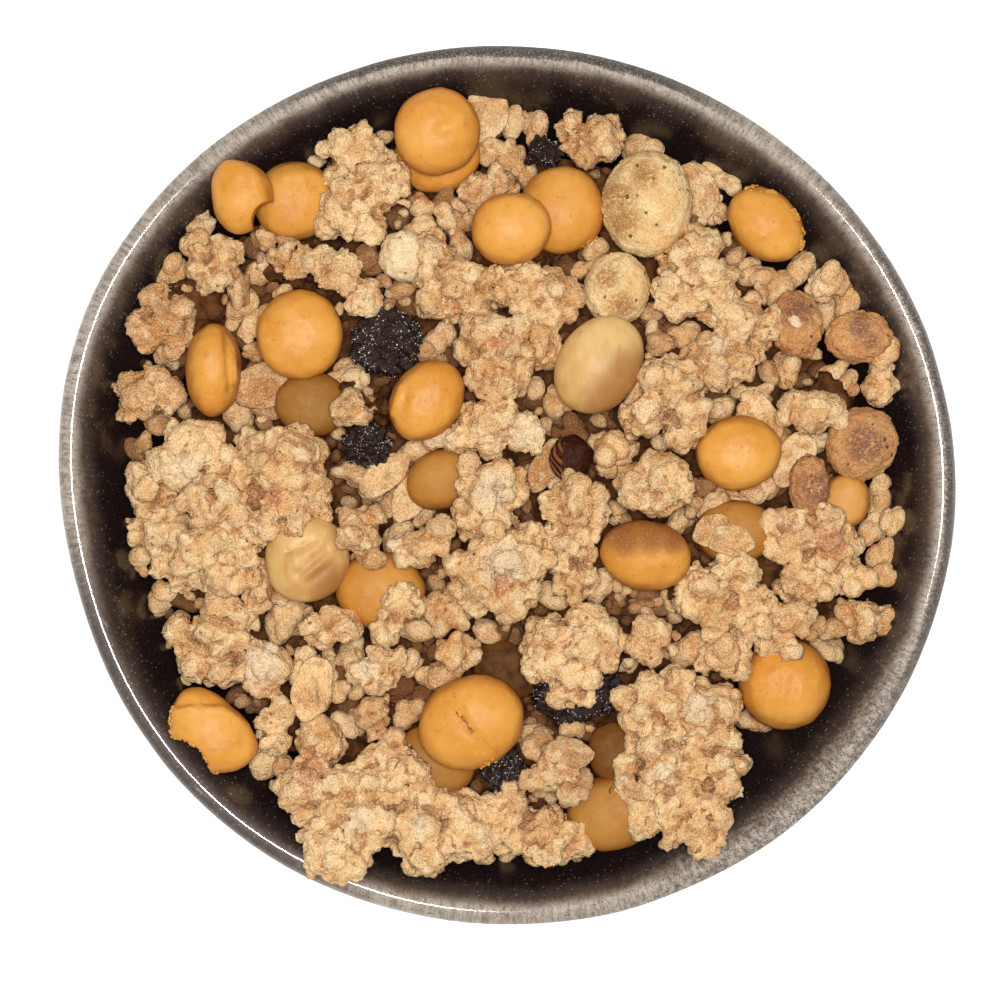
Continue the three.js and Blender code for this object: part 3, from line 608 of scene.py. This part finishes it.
def make_bowl():
    """The CAD bowl with its facets rounded off. Each point knows how far inwards of the lip's crest it is."""
    bm = merged("bowl")
    bmesh.ops.join_triangles(bm, faces=bm.faces, angle_face_threshold=math.pi, angle_shape_threshold=math.pi)
    bowl = piece("stoneware_bowl", bm, GLAZE)
    modify(bowl, "SUBSURF", levels=2, render_levels=2)
    relief(bowl, "CLOUDS", 22.0, 0.5)
    settle(bowl)
    fit(bowl, "bowl")
    points, facing = places(bowl.data), normals(bowl.data)
    radius, height = np.hypot(points[:, 0], points[:, 1]), points[:, 2]
    turn = np.degrees(np.arctan2(points[:, 1], points[:, 0])) / (360 / SECTORS)
    sector = np.round(turn).astype(int) % SECTORS
    crest = np.array([radius[sector == k][np.argmax(height[sector == k])] for k in range(SECTORS)])
    crest_radius = np.interp(turn % SECTORS, np.arange(SECTORS + 1), np.append(crest, crest[0]))
    out = np.einsum("ij,ij->i", points[:, :2], facing[:, :2]) / np.maximum(radius, 1e-6)
    at_lip = height > RIM_HEIGHT - WALL / 2
    inside = np.where(at_lip, radius < crest_radius, facing[:, 2] > out)
    away = np.hypot(radius - crest_radius, height - height.max())
    note(bowl.data, "inward", np.where(inside, crest_radius - radius, -away))
    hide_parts("bowl")


# ---- Drops, nuts, puffs and berries ----

def rounded(node, material, squareness):
    """A CAD piece with its facets rounded off, as large as it was, and with fuller shoulders."""
    obj = piece(node + "_piece", merged(node), material)
    modify(obj, "SUBSURF", levels=3, render_levels=3)
    settle(obj)
    fit(obj, node)
    low, high = limits(node)
    points = places(obj.data) - (low + high) / 2
    share = np.clip(np.abs(points[:, 2]) / ((high - low)[2] / 2), 0, 1)
    full = ((1 - share ** 2) ** (squareness / 2) + share ** squareness) ** (-1 / squareness)
    move(obj.data, points * full[:, None] + (low + high) / 2)
    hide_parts(node)
    return obj


def lengthen(obj, node, turn, share):
    """Makes a piece that share longer one way, seen from above, and slimmer the other, within its own box."""
    points = places(obj.data)
    way = np.array([math.cos(math.radians(turn)), math.sin(math.radians(turn))])
    off = points[:, :2] - points[:, :2].mean(0)
    along = off @ way
    points[:, :2] += share * (2 * along[:, None] * way - off)
    move(obj.data, points)
    fit(obj, node)


def fold(mesh, folds):
    """Presses creases into the upper side of a piece, or raises ridges on it."""
    for x0, y0, x1, y1, depth, width in folds:
        points, facing = places(mesh), normals(mesh)
        start, run = np.array([x0, y0]), np.array([x1 - x0, y1 - y0])
        share = np.clip((points[:, :2] - start) @ run / (run @ run), 0, 1)
        away = np.linalg.norm(points[:, :2] - start - share[:, None] * run, axis=1)
        press = depth * np.exp(-(away / width) ** 2) * np.clip(facing[:, 2] * 2, 0, 1)
        move(mesh, points - facing * press[:, None])


def bite(mesh, bites):
    """Breaks pieces off the edge of a drop: what lies within a circle is pushed back to its edge."""
    points = places(mesh)
    for x, y, radius in bites:
        off = points[:, :2] - (x, y)
        away = np.maximum(np.linalg.norm(off, axis=1), 0.01)
        held = np.where(away < radius, radius - (radius - away) * 0.1, away)
        points[:, :2] = (x, y) + off * (held / away)[:, None]
    move(mesh, points)


# Dusted places, and the darker places of the nuts, painted shade over nut_01's lower right side: x, y, radius
DUST = {"drop_12": [(17.5, -7.5, 3.2), (21.5, -7.2, 3.2), (24.5, -8.2, 2.2)],
        "toasted_puff_01": [(43.6, 26.0, 2.6)], "toasted_puff_02": [(52.8, 23.5, 1.8), (54.6, 21.5, 1.3)],
        "toasted_puff_03": [(53.8, 6.0, 3.4)], "toasted_puff_04": [(46.5, -0.5, 3.0)],
        "pale_puff_01": [(16.5, 43.0, 3.0), (17.5, 39.5, 2.6), (20.5, 46.5, 2.4)],
        "pale_puff_02": [(15.0, 31.0, 2.0), (17.0, 27.0, 2.0)]}
BROWN_AND_SHADE = {"nut_01": [(16.2, 12.6, 5.0), (18.0, 17.0, 3.6)], "nut_02": [(-27.0, -14.0, 3.0)]}

# Painted shade, 0 to 1, on drops lying low in the heap, and the pieces yellower or paler than their kind
DROP_SHADE = {"drop_23": 0.92, "drop_24": 0.78, "drop_19": 0.58, "drop_22": 0.52, "drop_13": 0.4,
           "drop_17": 0.42, "drop_20": 0.36, "drop_18": 0.2, "drop_21": 0.16, "drop_02": 0.06,
           "drop_06": 0.05, "drop_12": 0.03}
YELLOW = "drop_21"
PALEST = "pale_puff_03"

# The nut that is a slimmer oval than its CAD piece: which way it is long, and by what share more
OVAL_NUT = {"nut_01": (55, 0.11)}

# Where crumbs or bran stick: piece, x, y, radius, how many and their half length
STUCK = [
    ("drop_10", 37.0, 43.5, 1.6, 14, 0.35), ("drop_10", 39.5, 42.5, 1.6, 26, 0.4),
    ("drop_10", 42.0, 40.0, 1.7, 26, 0.45), ("drop_10", 44.0, 37.0, 1.6, 22, 0.4),
    ("drop_16", -50.3, -34.5, 1.4, 20, 0.35), ("drop_16", -49.4, -37.2, 1.1, 18, 0.35),
    ("drop_16", -47.2, -38.6, 1.1, 20, 0.35), ("drop_16", -45.2, -40.5, 1.1, 20, 0.35),
    ("drop_16", -43.9, -42.5, 1.1, 16, 0.35),
    ("drop_06", 12.5, 36.5, 1.3, 12, 0.3), ("drop_15", -3.0, -41.5, 1.5, 12, 0.3),
]


def make_round_pieces():
    """Every drop, nut, puff, berry and the seed, with its folds and its fine relief: the material and slot of
    each kind, how full its shoulders are, and the size and height of its unevenness."""
    kinds = {
        "drop": (CARAMEL, "caramel", 2.5, 3.5, 0.5), "nut": (NUT, "nut", 2.2, 5.0, 0.5),
        "pale_puff": (PALE, "puff", 2.4, 2.2, 0.9), "toasted_puff": (TOASTED, "toasted", 2.2, 1.8, 1.0),
        "berry": (BERRY, "berry", 2.6, 2.0, 1.8), "seed": (SEED, "seed", 2.2, 2.5, 1.2),
    }
    for node in sorted(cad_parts):
        kind = node.rpartition("_")[0]
        if kind not in kinds:
            continue
        material, slot, squareness, size, height = kinds[kind]
        obj = rounded(node, material, squareness)
        relief(obj, "CLOUDS", size, height)
        if kind in ("pale_puff", "toasted_puff"):
            relief(obj, "CLOUDS", 0.8, 0.7)
        if kind == "berry":
            relief(obj, "CLOUDS", 1.6, 2.2, noise_type="HARD_NOISE", noise_depth=1)
        settle(obj)
        if node in OVAL_NUT:
            lengthen(obj, node, *OVAL_NUT[node])
        fold(obj.data, FOLDS.get(node, []))
        note_hollows(obj.data, 12, 0.35)
        bite(obj.data, BITES.get(node, []))
        # How steep each place is, for the painted shade on the sides of the drops.
        note(obj.data, "side", 1 - np.clip(normals(obj.data)[:, 2], 0, 1))
        note_spots(obj.data, "dust", DUST.get(node, []))
        note_spots(obj.data, "brown", BROWN_AND_SHADE.get(node, []))
        note(obj.data, "yellow", float(node == YELLOW))
        note(obj.data, "pale", float(node == PALEST))
        note(obj.data, "drop_shade", DROP_SHADE.get(node, 0.0))


# ---- Baked clusters ----

# Half lengths of the chunks that a baked cluster is stuck together from
CHUNKS = (0.5, 0.6, 0.8, 1.0, 1.2, 1.5, 1.8, 2.1, 2.5, 2.9)

# How coarse and how toasted clusters are that differ from the rest
COARSE = {"cluster_04": 1.1, "cluster_02": 1.1, "cluster_11": 0.7, "cluster_19": 0.8, "cluster_07": 0.85}
TOAST = {"cluster_05": 0.4, "cluster_08": 0.1, "cluster_12": 0.5, "cluster_15": 0.2, "cluster_06": 0.1,
         "cluster_19": 0.6, "cluster_01": 0.1, "cluster_04": 0.3, "cluster_07": 0.1, "cluster_18": 0.2}
USUAL_TOAST = 0.35

# The cluster whose front end leans aside: not at all at the first y, by the third value at the second y
LEANING = {"cluster_01": (-49.0, -55.0, 3.6)}

# Square millimetres of a cluster for each chunk and for each small hole
CHUNK_AREA = 7
HOLE_AREA = 32


def anywhere(chance):
    """A direction picked at random."""
    return Vector([chance.gauss(0, 1) for _ in range(3)])


def turned(angle, axis):
    return Matrix.Rotation(angle, 4, axis)


def sized(lengths):
    """Scales a shape that is 1 long each way to lengths in millimetres."""
    return Matrix.Diagonal((*(length * MM for length in lengths), 1))


def ball(bm, subdivisions, lie=Matrix()):
    return bmesh.ops.create_icosphere(bm, subdivisions=subdivisions, radius=1, matrix=lie)["verts"]


def chunk(bm, middle, facing, size, chance):
    """Sticks one rough chunk on a lump, lying more or less flat on it."""
    lie = facing.to_track_quat("Z", "Y").to_matrix().to_4x4()
    lie = lie @ turned(chance.uniform(0, math.tau), "Z") @ turned(chance.uniform(-0.8, 0.8), "X")
    made = ball(bm, 2)
    for vert in made:
        vert.co *= chance.uniform(0.78, 1.12)
    bmesh.ops.transform(bm, matrix=Matrix.Translation(middle) @ lie @ sized(size), verts=made)


def stud(bm, count, coarse, chance):
    """Draws a lump in a little and sticks chunks of mixed sizes all over it."""
    bm.normal_update()
    for vert in bm.verts:
        vert.co -= vert.normal * 0.9 * coarse * MM
    faces = bm.faces[:]
    areas = [face.calc_area() for face in faces]
    found = []
    for face in chance.choices(faces, areas, k=count):
        a, b, c = (vert.co for vert in face.verts[:3])
        u, v = sorted((chance.random(), chance.random()))
        found.append((a * u + b * (v - u) + c * (1 - v), face.normal.copy()))
    for middle, facing in found:
        long = coarse * chance.choice(CHUNKS)
        size = (long, long * chance.uniform(0.6, 0.95), long * chance.uniform(0.4, 0.75))
        chunk(bm, middle + facing * chance.uniform(-0.2, 0.3) * size[2] * MM, facing, size, chance)


def dig(mesh, count, chance):
    """Presses small deep holes and short cracks into the upper side of a baked piece, and says where."""
    points, facing = places(mesh), normals(mesh)
    pits = np.zeros(len(points))
    upper = np.flatnonzero(facing[:, 2] > 0.3).tolist()
    for spot in chance.choices(upper, k=count):
        way, half = chance.uniform(0, math.tau), chance.choice((0.0, 0.0, 0.0, 0.5))
        run = np.array([math.cos(way), math.sin(way), 0.3 * math.sin(3 * way)]) * half
        width, depth = chance.uniform(0.28, 0.45), chance.uniform(0.6, 1.4)
        off = points - points[spot]
        share = np.clip(off @ run / (run @ run), -1, 1) if half else np.zeros(len(points))
        away = np.linalg.norm(off - share[:, None] * run, axis=1)
        pit = np.exp(-(away / width) ** 2)
        points = points - facing[spot] * (depth * pit)[:, None]
        pits = np.maximum(pits, pit)
    move(mesh, points)
    return pits


def bake(obj, cell, toast_and_depth_shade, holes, chance):
    """Fuses a studded lump into one crusty cluster and notes its colours."""
    modify(obj, "REMESH", mode="VOXEL", voxel_size=cell * MM)
    relief(obj, "VORONOI", 3.4, -2.4, distance_metric="DISTANCE_SQUARED")
    relief(obj, "CLOUDS", 1.9, 1.2, noise_type="HARD_NOISE", noise_depth=2)
    modify(obj, "SMOOTH", factor=0.5, iterations=2)
    relief(obj, "CLOUDS", 0.8, 0.9, noise_depth=1)
    settle(obj)
    pits = dig(obj.data, holes, chance)
    # The dug pits count as deep hollows, so the material fills them with its darkest painted shade.
    note_hollows(obj.data, 14, 0.5, 2.7 * pits - 1)
    note(obj.data, "toast_and_depth_shade", toast_and_depth_shade)
    note_spots(obj.data, "pale", PALE_SPOTS)
    note_spots(obj.data, "red", RED_SPOTS)


def lean(bm, near, far, shift):
    """Moves the front end of a lump sideways: not at all at the first y, all the way at the second."""
    for vert in bm.verts:
        vert.co.x += shift * MM * min(max((near - vert.co.y / MM) / (near - far), 0), 1)


def make_clusters():
    """The large baked clusters, each over its CAD solid."""
    for number in range(1, 20):
        node = f"cluster_{number:02d}"
        chance = random.Random(number)
        bm = merged(node)
        if node in LEANING:
            lean(bm, *LEANING[node])
        area = sum(face.calc_area() for face in bm.faces) / MM ** 2
        stud(bm, int(area / CHUNK_AREA), COARSE.get(node, 1.0), chance)
        obj = piece(f"baked_{node}", bm, OATS)
        bake(obj, 0.40, TOAST.get(node, USUAL_TOAST), int(area / HOLE_AREA), chance)
        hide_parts(node)


# ---- The loose granola ----

HEAP = BVHTree.FromBMesh(merged("granola_heap"))

# The heap's height at its edge, how far out and how deep loose pieces lie, half the height of a lump or crisp
# as a share of its width, and how many balls a lump is made of
EDGE_HEIGHT = 52.0
FILL_RADIUS = 57.5
DEEPEST = 30.0
PLUMP = 0.42
BALLS = 5


def ground(x, y):
    """The height of the CAD heap at a place, in millimetres, or None outside it."""
    place = HEAP.ray_cast(Vector((x * MM, y * MM, 0.1)), Vector((0, 0, -1)))[0]
    return place.z / MM if place else None


class Pile:
    """How high everything in the bowl stands, over a grid of small squares."""

    STEP = 0.5
    REACH = 62.0

    def __init__(self):
        self.count = int(2 * self.REACH / self.STEP)
        self.height = np.zeros((self.count, self.count))
        self.limit = np.zeros((self.count, self.count))
        depsgraph = bpy.context.evaluated_depsgraph_get()
        scene = bpy.context.scene
        for i in range(self.count):
            for j in range(self.count):
                x, y = self.middle(i), self.middle(j)
                if math.hypot(x, y) > self.REACH:
                    continue
                hit, place, *_ = scene.ray_cast(depsgraph, Vector((x * MM, y * MM, 0.1)), Vector((0, 0, -1)))
                self.height[i, j] = place.z / MM if hit else 0
                self.limit[i, j] = ground(x, y) or 0

    def middle(self, i):
        return (i + 0.5) * self.STEP - self.REACH

    def window(self, x, y, reach):
        i, j = ((value + self.REACH) / self.STEP for value in (x, y))
        k = int(reach / self.STEP) + 1
        rows = slice(max(int(i) - k, 0), int(i) + k + 1)
        columns = slice(max(int(j) - k, 0), int(j) + k + 1)
        squares = self.middle(np.arange(self.count))
        return rows, columns, squares[rows, None] - x, squares[None, columns] - y

    def dome(self, xs, ys, length, width, turn):
        """How much of its half height a round piece has over each square."""
        c, s = math.cos(turn), math.sin(turn)
        along, across = (xs * c + ys * s) / (length / 2), (ys * c - xs * s) / (width / 2)
        return np.sqrt(np.clip(1 - along ** 2 - across ** 2, 0, 1))

    def lie(self, x, y, length, width, half, turn, proud):
        """Lays down a piece that has to show: on what is there, or that far proud of the heap's outline."""
        level = (ground(x, y) or EDGE_HEIGHT) + proud - half
        z = max(level, self.rest(x, y, length, width, half, turn, 0.35) or level)
        self.cover(x, y, z, length, width, half, turn)
        return z

    def rest(self, x, y, length, width, half, turn, share=0.65):
        """The height of a piece's middle when that share of it lies on or in what is there."""
        rows, columns, xs, ys = self.window(x, y, length / 2)
        dome = self.dome(xs, ys, length, width, turn)
        under = (self.height[rows, columns] + half * dome)[dome > 0.3]
        return float(np.quantile(under, share)) if under.size else None

    def cover(self, x, y, z, length, width, half, turn):
        rows, columns, xs, ys = self.window(x, y, length / 2)
        dome = self.dome(xs, ys, length, width, turn)
        top = np.where(dome > 0, z + half * dome, 0)
        self.height[rows, columns] = np.maximum(self.height[rows, columns], top)


def join(objs, name):
    """Joins pieces of one kind into one."""
    with bpy.context.temp_override(active_object=objs[0], selected_editable_objects=objs):
        bpy.ops.object.join()
    objs[0].name = name
    return objs[0]


def lump(pile, number, x, y, length, width, turn, toast_and_depth_shade, proud=1.0):
    """One small cluster lying on what is there: a few balls along its length, studded and baked."""
    chance = random.Random(1000 + number)
    half, radius, lie = width * PLUMP, width * 0.36, math.radians(turn)
    top = pile.lie(x, y, length, width, half, lie, proud) + half
    bm = bmesh.new()
    for i in range(BALLS):
        along = (i / (BALLS - 1) - 0.5) * (length - 2 * radius)
        side = chance.uniform(-0.7, 0.7) * (width - 2 * radius)
        size = radius * chance.uniform(0.7, 1.15)
        middle = Vector((x + along * math.cos(lie) - side * math.sin(lie),
                         y + along * math.sin(lie) + side * math.cos(lie), top - size)) * MM
        bmesh.ops.create_icosphere(bm, subdivisions=2, radius=size * MM, matrix=Matrix.Translation(middle))
    stud(bm, int(length * width * 0.42), 0.75, chance)
    obj = piece(f"lump_{number}", bm, OATS)
    bake(obj, 0.42, toast_and_depth_shade, int(length * width / 16), chance)
    return obj


def make_lumps(pile):
    """The small clusters that show."""
    lumps = [lump(pile, number, *row) for number, row in enumerate(LUMPS)]
    half = len(lumps) // 2
    for name, group in (("small_clusters_left", lumps[:half]), ("small_clusters_right", lumps[half:])):
        join(group, name)


def make_bed():
    """The core of the heap: the CAD heap drawn in, with crumbs in relief, and dark with painted shade."""
    bed = piece("granola_bed", merged("granola_heap"), BED)
    modify(bed, "DISPLACE", strength=-6.0 * MM, mid_level=0)
    modify(bed, "REMESH", mode="VOXEL", voxel_size=0.9 * MM)
    modify(bed, "SMOOTH", iterations=4)
    relief(bed, "CLOUDS", 2.2, 3.0)
    settle(bed)
    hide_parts("granola_heap")


def knob(chance, facets, lobes, rough):
    """A knobbly crumb that is 1 long each way: a few balls grown together, as seen from their middle."""
    bm = bmesh.new()
    ball(bm, facets)
    balls = []
    for _ in range(lobes):
        way = anywhere(chance).normalized()
        balls.append((way * chance.uniform(0.3, 0.6), chance.uniform(0.28, 0.5)))
    for vert in bm.verts:
        way = vert.co.normalized()
        reach = 0.5
        for middle, radius in balls:
            along = way.dot(middle)
            inside = radius ** 2 - middle.length_squared + along ** 2
            if inside > 0:
                reach = max(reach, along + math.sqrt(inside))
        vert.co = way * reach * chance.uniform(1 - rough, 1 + rough)
    corners = [(min(vert.co[k] for vert in bm.verts), max(vert.co[k] for vert in bm.verts)) for k in range(3)]
    for vert in bm.verts:
        vert.co = [(vert.co[k] - (low + high) / 2) / (high - low) for k, (low, high) in enumerate(corners)]
    return bm


def scatter(name, rows, shapes, material):
    """Joins one copy of a shape for each row: middle, size, turn, tilt, and browning, part of it painted
    shade.
    """
    whole = bmesh.new()
    toast_and_depth_shade = []
    for number, (middle, size, turn, tilt, brown) in enumerate(rows):
        lie = Matrix.Translation(Vector(middle) * MM) @ turned(turn, "Z") @ turned(tilt, "Y")
        copy = bpy.data.meshes.new("copy")
        shapes[number % len(shapes)].to_mesh(copy)
        copy.transform(lie @ sized(size))
        whole.from_mesh(copy)
        toast_and_depth_shade += [brown] * len(copy.vertices)
        bpy.data.meshes.remove(copy)
    for shape in shapes:
        shape.free()
    obj = piece(name, whole, material)
    obj.data.shade_smooth()
    note(obj.data, "toast_and_depth_shade", np.array(toast_and_depth_shade))
    note_hollows(obj.data, 3, 0.5)
    return obj


# What fills the heap: name, how many at most, shortest, longest, how far above the heap's outline it may
# reach, the facets and lobes of its shapes, and how rough they are
FILLING = [
    ("knobbly_lumps", 130, 6.5, 9.5, 1.2, 4, 9, 0.04), ("crisps", 1300, 4.0, 6.8, 1.5, 3, 6, 0.05),
    ("crumbs", 1100, 1.6, 3.4, 0.3, 2, 3, 0.07),
]


def make_loose(pile):
    """Crisps that show, then lumps, crisps and crumbs dropped into the gaps until the heap is full."""
    chance = random.Random(7)
    shown = []
    for x, y, length, width, turn, toast_and_depth_shade in CRISPS:
        half, lie = width * PLUMP, math.radians(turn)
        z = pile.lie(x, y, length, width, half, lie, 0.4)
        shown.append(((x, y, z), (length, width, 2 * half), lie, chance.uniform(-0.3, 0.3), toast_and_depth_shade))
    scatter("crisps_on_top", shown, [knob(chance, 4, 4, 0.02) for _ in range(12)], OATS)
    for name, wanted, low, high, spare, facets, lobes, rough in FILLING:
        found = []
        for _ in range(wanted * 4):
            if len(found) == wanted:
                break
            reach, way = FILL_RADIUS * math.sqrt(chance.random()), chance.uniform(0, math.tau)
            x, y = reach * math.cos(way), reach * math.sin(way)
            length = chance.uniform(low, high)
            width, half = length * chance.uniform(0.62, 0.9), length * chance.uniform(0.26, 0.4)
            turn, tilt = chance.uniform(0, math.tau), chance.uniform(-0.5, 0.5)
            toast_and_depth_shade = chance.uniform(0.0, 0.9)
            z = pile.rest(x, y, length, width, half, turn)
            limit = ground(x, y)
            if z is None or limit is None or z + half > limit + spare or z < DEEPEST:
                continue
            # Lower pieces get browner: painted shade by depth, on top of their real toasting.
            toast_and_depth_shade += min(0.32 * (limit + spare - z - half), 1.3)
            found.append(((x, y, z), (length, width, 2 * half), turn, tilt, toast_and_depth_shade))
            pile.cover(x, y, z, length, width, half, turn)
        scatter(name, found, [knob(chance, facets, lobes, rough) for _ in range(12)], OATS)


def make_grains(pile):
    """Pale, clear grains that sit in the tops of some clusters."""
    chance = random.Random(13)
    rows = []
    for x, y, radius in PALE_GRAINS:
        i, j = (int((value + pile.REACH) / pile.STEP) for value in (x, y))
        middle = (x, y, pile.height[i, j] - 0.35 * radius)
        size = (2 * radius, 1.6 * radius, 1.4 * radius)
        rows.append((middle, size, chance.uniform(0, math.tau), chance.uniform(-0.3, 0.3), 0.1))
    grains = scatter("pale_grains", rows, [knob(chance, 3, 4, 0.02) for _ in range(4)], OATS)
    note(grains.data, "pale", 1.5)


def make_flakes(pile):
    """Thin curled oat flakes lying on the heap."""
    chance = random.Random(11)
    flakes = []
    for x, y, length, width, turn, toast_and_depth_shade in FLAKES:
        bm = bmesh.new()
        ball(bm, 4)
        curl, wave = chance.uniform(0.5, 1.6), chance.uniform(0, math.tau)
        for vert in bm.verts:
            across, along = vert.co.y, vert.co.x
            ragged = 1 + 0.04 * math.sin(5 * math.atan2(across, along) + wave) + chance.uniform(-0.02, 0.02)
            groove = 0.4 * math.exp(-(across / 0.16) ** 2) + 0.06 * math.sin(22 * across)
            bend = 0.5 * curl * across ** 2 + 0.3 * math.sin(2.2 * along + wave)
            vert.co = (along * ragged * length / 2, across * ragged * width / 2,
                       vert.co.z * 0.75 + bend - groove * (0.55 if vert.co.z > 0 else 0.2))
        z = pile.lie(x, y, length, width, 0.8, math.radians(turn), 1.2) + 0.5
        lie = Matrix.Translation(Vector((x, y, z)) * MM) @ turned(math.radians(turn), "Z")
        lie = lie @ turned(chance.uniform(-0.4, 0.4), "X")
        bm.transform(lie @ Matrix.Scale(MM, 4))
        flake = piece("flake", bm, OATS)
        flake.data.shade_smooth()
        note_hollows(flake.data, 8, 0.3)
        note(flake.data, "toast_and_depth_shade", toast_and_depth_shade)
        flakes.append(flake)
    join(flakes, "oat_flakes")


def sprinkle(name, rows, material, chance, flattest=1.0, patchy=-1.0):
    """Sticks small grains on pieces. Each row: piece, x, y, radius, how many, half length. They keep off what
    faces further up than flattest, and lie in patches if patchy is more than -1."""
    whole = bmesh.new()
    for node, x, y, radius, count, size in rows:
        mesh = bpy.data.objects[node + "_piece"].data
        points, facing = places(mesh), normals(mesh)
        near = np.hypot(points[:, 0] - x, points[:, 1] - y) < radius
        near &= (facing[:, 2] > -0.1) & (facing[:, 2] <= flattest)
        near &= [noise.noise(point * 0.55) > patchy for point in map(Vector, points.tolist())]
        for spot in chance.choices(np.flatnonzero(near).tolist(), k=count) if near.any() else ():
            half = size * chance.uniform(0.5, 1.3)
            lie = turned(chance.uniform(0, math.tau), anywhere(chance))
            lie = Matrix.Translation(Vector(points[spot].tolist()) * MM) @ lie
            shape = sized((half, half * chance.uniform(0.5, 1), half * chance.uniform(0.5, 1)))
            ball(whole, 1, lie @ shape)
    obj = piece(name, whole, material)
    note(obj.data, "toast_and_depth_shade", 0.3)


def make_sprinkles():
    """Sugar on the berries, and the crumbs that stick to the rough edges of some drops."""
    chance = random.Random(5)
    sugared = []
    for node in sorted(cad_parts):
        if node.startswith("berry"):
            low, high = (corner / MM for corner in map(Vector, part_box(node)))
            middle, reach = (low + high) / 2, (high - low).length / 2
            sugared.append((node, middle.x, middle.y, reach, int(reach ** 2 * 6), 0.085))
            sugared.append((node, middle.x, middle.y, reach * 0.7, int(reach ** 2 * 1.2), 0.14))
    sprinkle("berry_sugar", sugared, SUGAR, chance, patchy=0.0)
    sprinkle("stuck_crumbs", STUCK, CARAMEL, chance, 0.55)


# ---- Floor, light and camera ----

# The lights: name, place and size in metres, and watts. They all shine at the middle of the heap.
LIGHTS = [
    ("overhead", (0.01, 0.01, 1.45), (0.24, 0.24), 18.0),
    ("strip_left", (-0.55, 0.12, 0.60), (0.008, 0.5), 0.09),
    ("strip_front_left", (-0.40, -0.38, 0.60), (0.008, 0.4), 0.08),
    ("strip_right", (0.52, 0.20, 0.60), (0.008, 0.9), 0.16),
]
HEART = Vector((0, 0, 50 * MM))


def set_stage():
    """A white floor that gives off a little light, a pale room, and the lights."""
    show = bpy.context.scene.collection.objects.link
    bm = bmesh.new()
    bmesh.ops.create_grid(bm, x_segments=1, y_segments=1, size=1.5)
    mesh = bpy.data.meshes.new("floor")
    bm.to_mesh(mesh)
    bm.free()
    floor = bpy.data.objects.new("floor", mesh)
    plain = bpy.data.materials.new("plain_floor")
    plain.use_nodes = True
    fill(plain.node_tree.nodes["Principled BSDF"], {
        "Base Color": (0.95, 0.95, 0.95, 1), "Roughness": 0.9, "Emission Color": (1, 1, 1, 1),
        "Emission Strength": 0.42})
    mesh.materials.append(plain)
    show(floor)
    world = bpy.data.worlds.new("pale_room")
    world.use_nodes = True
    fill(world.node_tree.nodes["Background"], {"Color": (1.0, 0.96, 0.90, 1), "Strength": 0.28})
    bpy.context.scene.world = world
    for name, place, (width, length), watts in LIGHTS:
        light = bpy.data.lights.new(name, "AREA")
        assign(light, {"shape": "RECTANGLE", "size": width, "size_y": length, "energy": watts})
        lamp = bpy.data.objects.new(name, light)
        lamp.location = place
        lamp.rotation_euler = (HEART - Vector(place)).to_track_quat("-Z", "Y").to_euler()
        show(lamp)


def set_camera():
    """Straight down, as in the photo, with its frame 150 mm wide at the height of the rim."""
    distance, sensor, middle = 1.1, 36.0, PHOTO_WIDTH / 2
    camera = bpy.data.objects.new("camera", bpy.data.cameras.new("camera"))
    camera.data.sensor_width = sensor
    camera.data.lens = sensor * distance / (PHOTO_WIDTH * PIXEL * MM)
    camera.location = ((middle - BOWL_MIDDLE_PX[0]) * PIXEL * MM, (BOWL_MIDDLE_PX[1] - middle) * PIXEL * MM,
                       distance + RIM_HEIGHT * MM)
    bpy.context.scene.collection.objects.link(camera)
    bpy.context.scene.camera = camera
    bpy.context.scene.view_settings.view_transform = "Standard"


set_camera()
set_stage()
make_bowl()
make_round_pieces()
make_clusters()
make_lumps(Pile())
make_bed()
PILE = Pile()
make_loose(PILE)
make_grains(PILE)
make_flakes(PILE)
make_sprinkles()
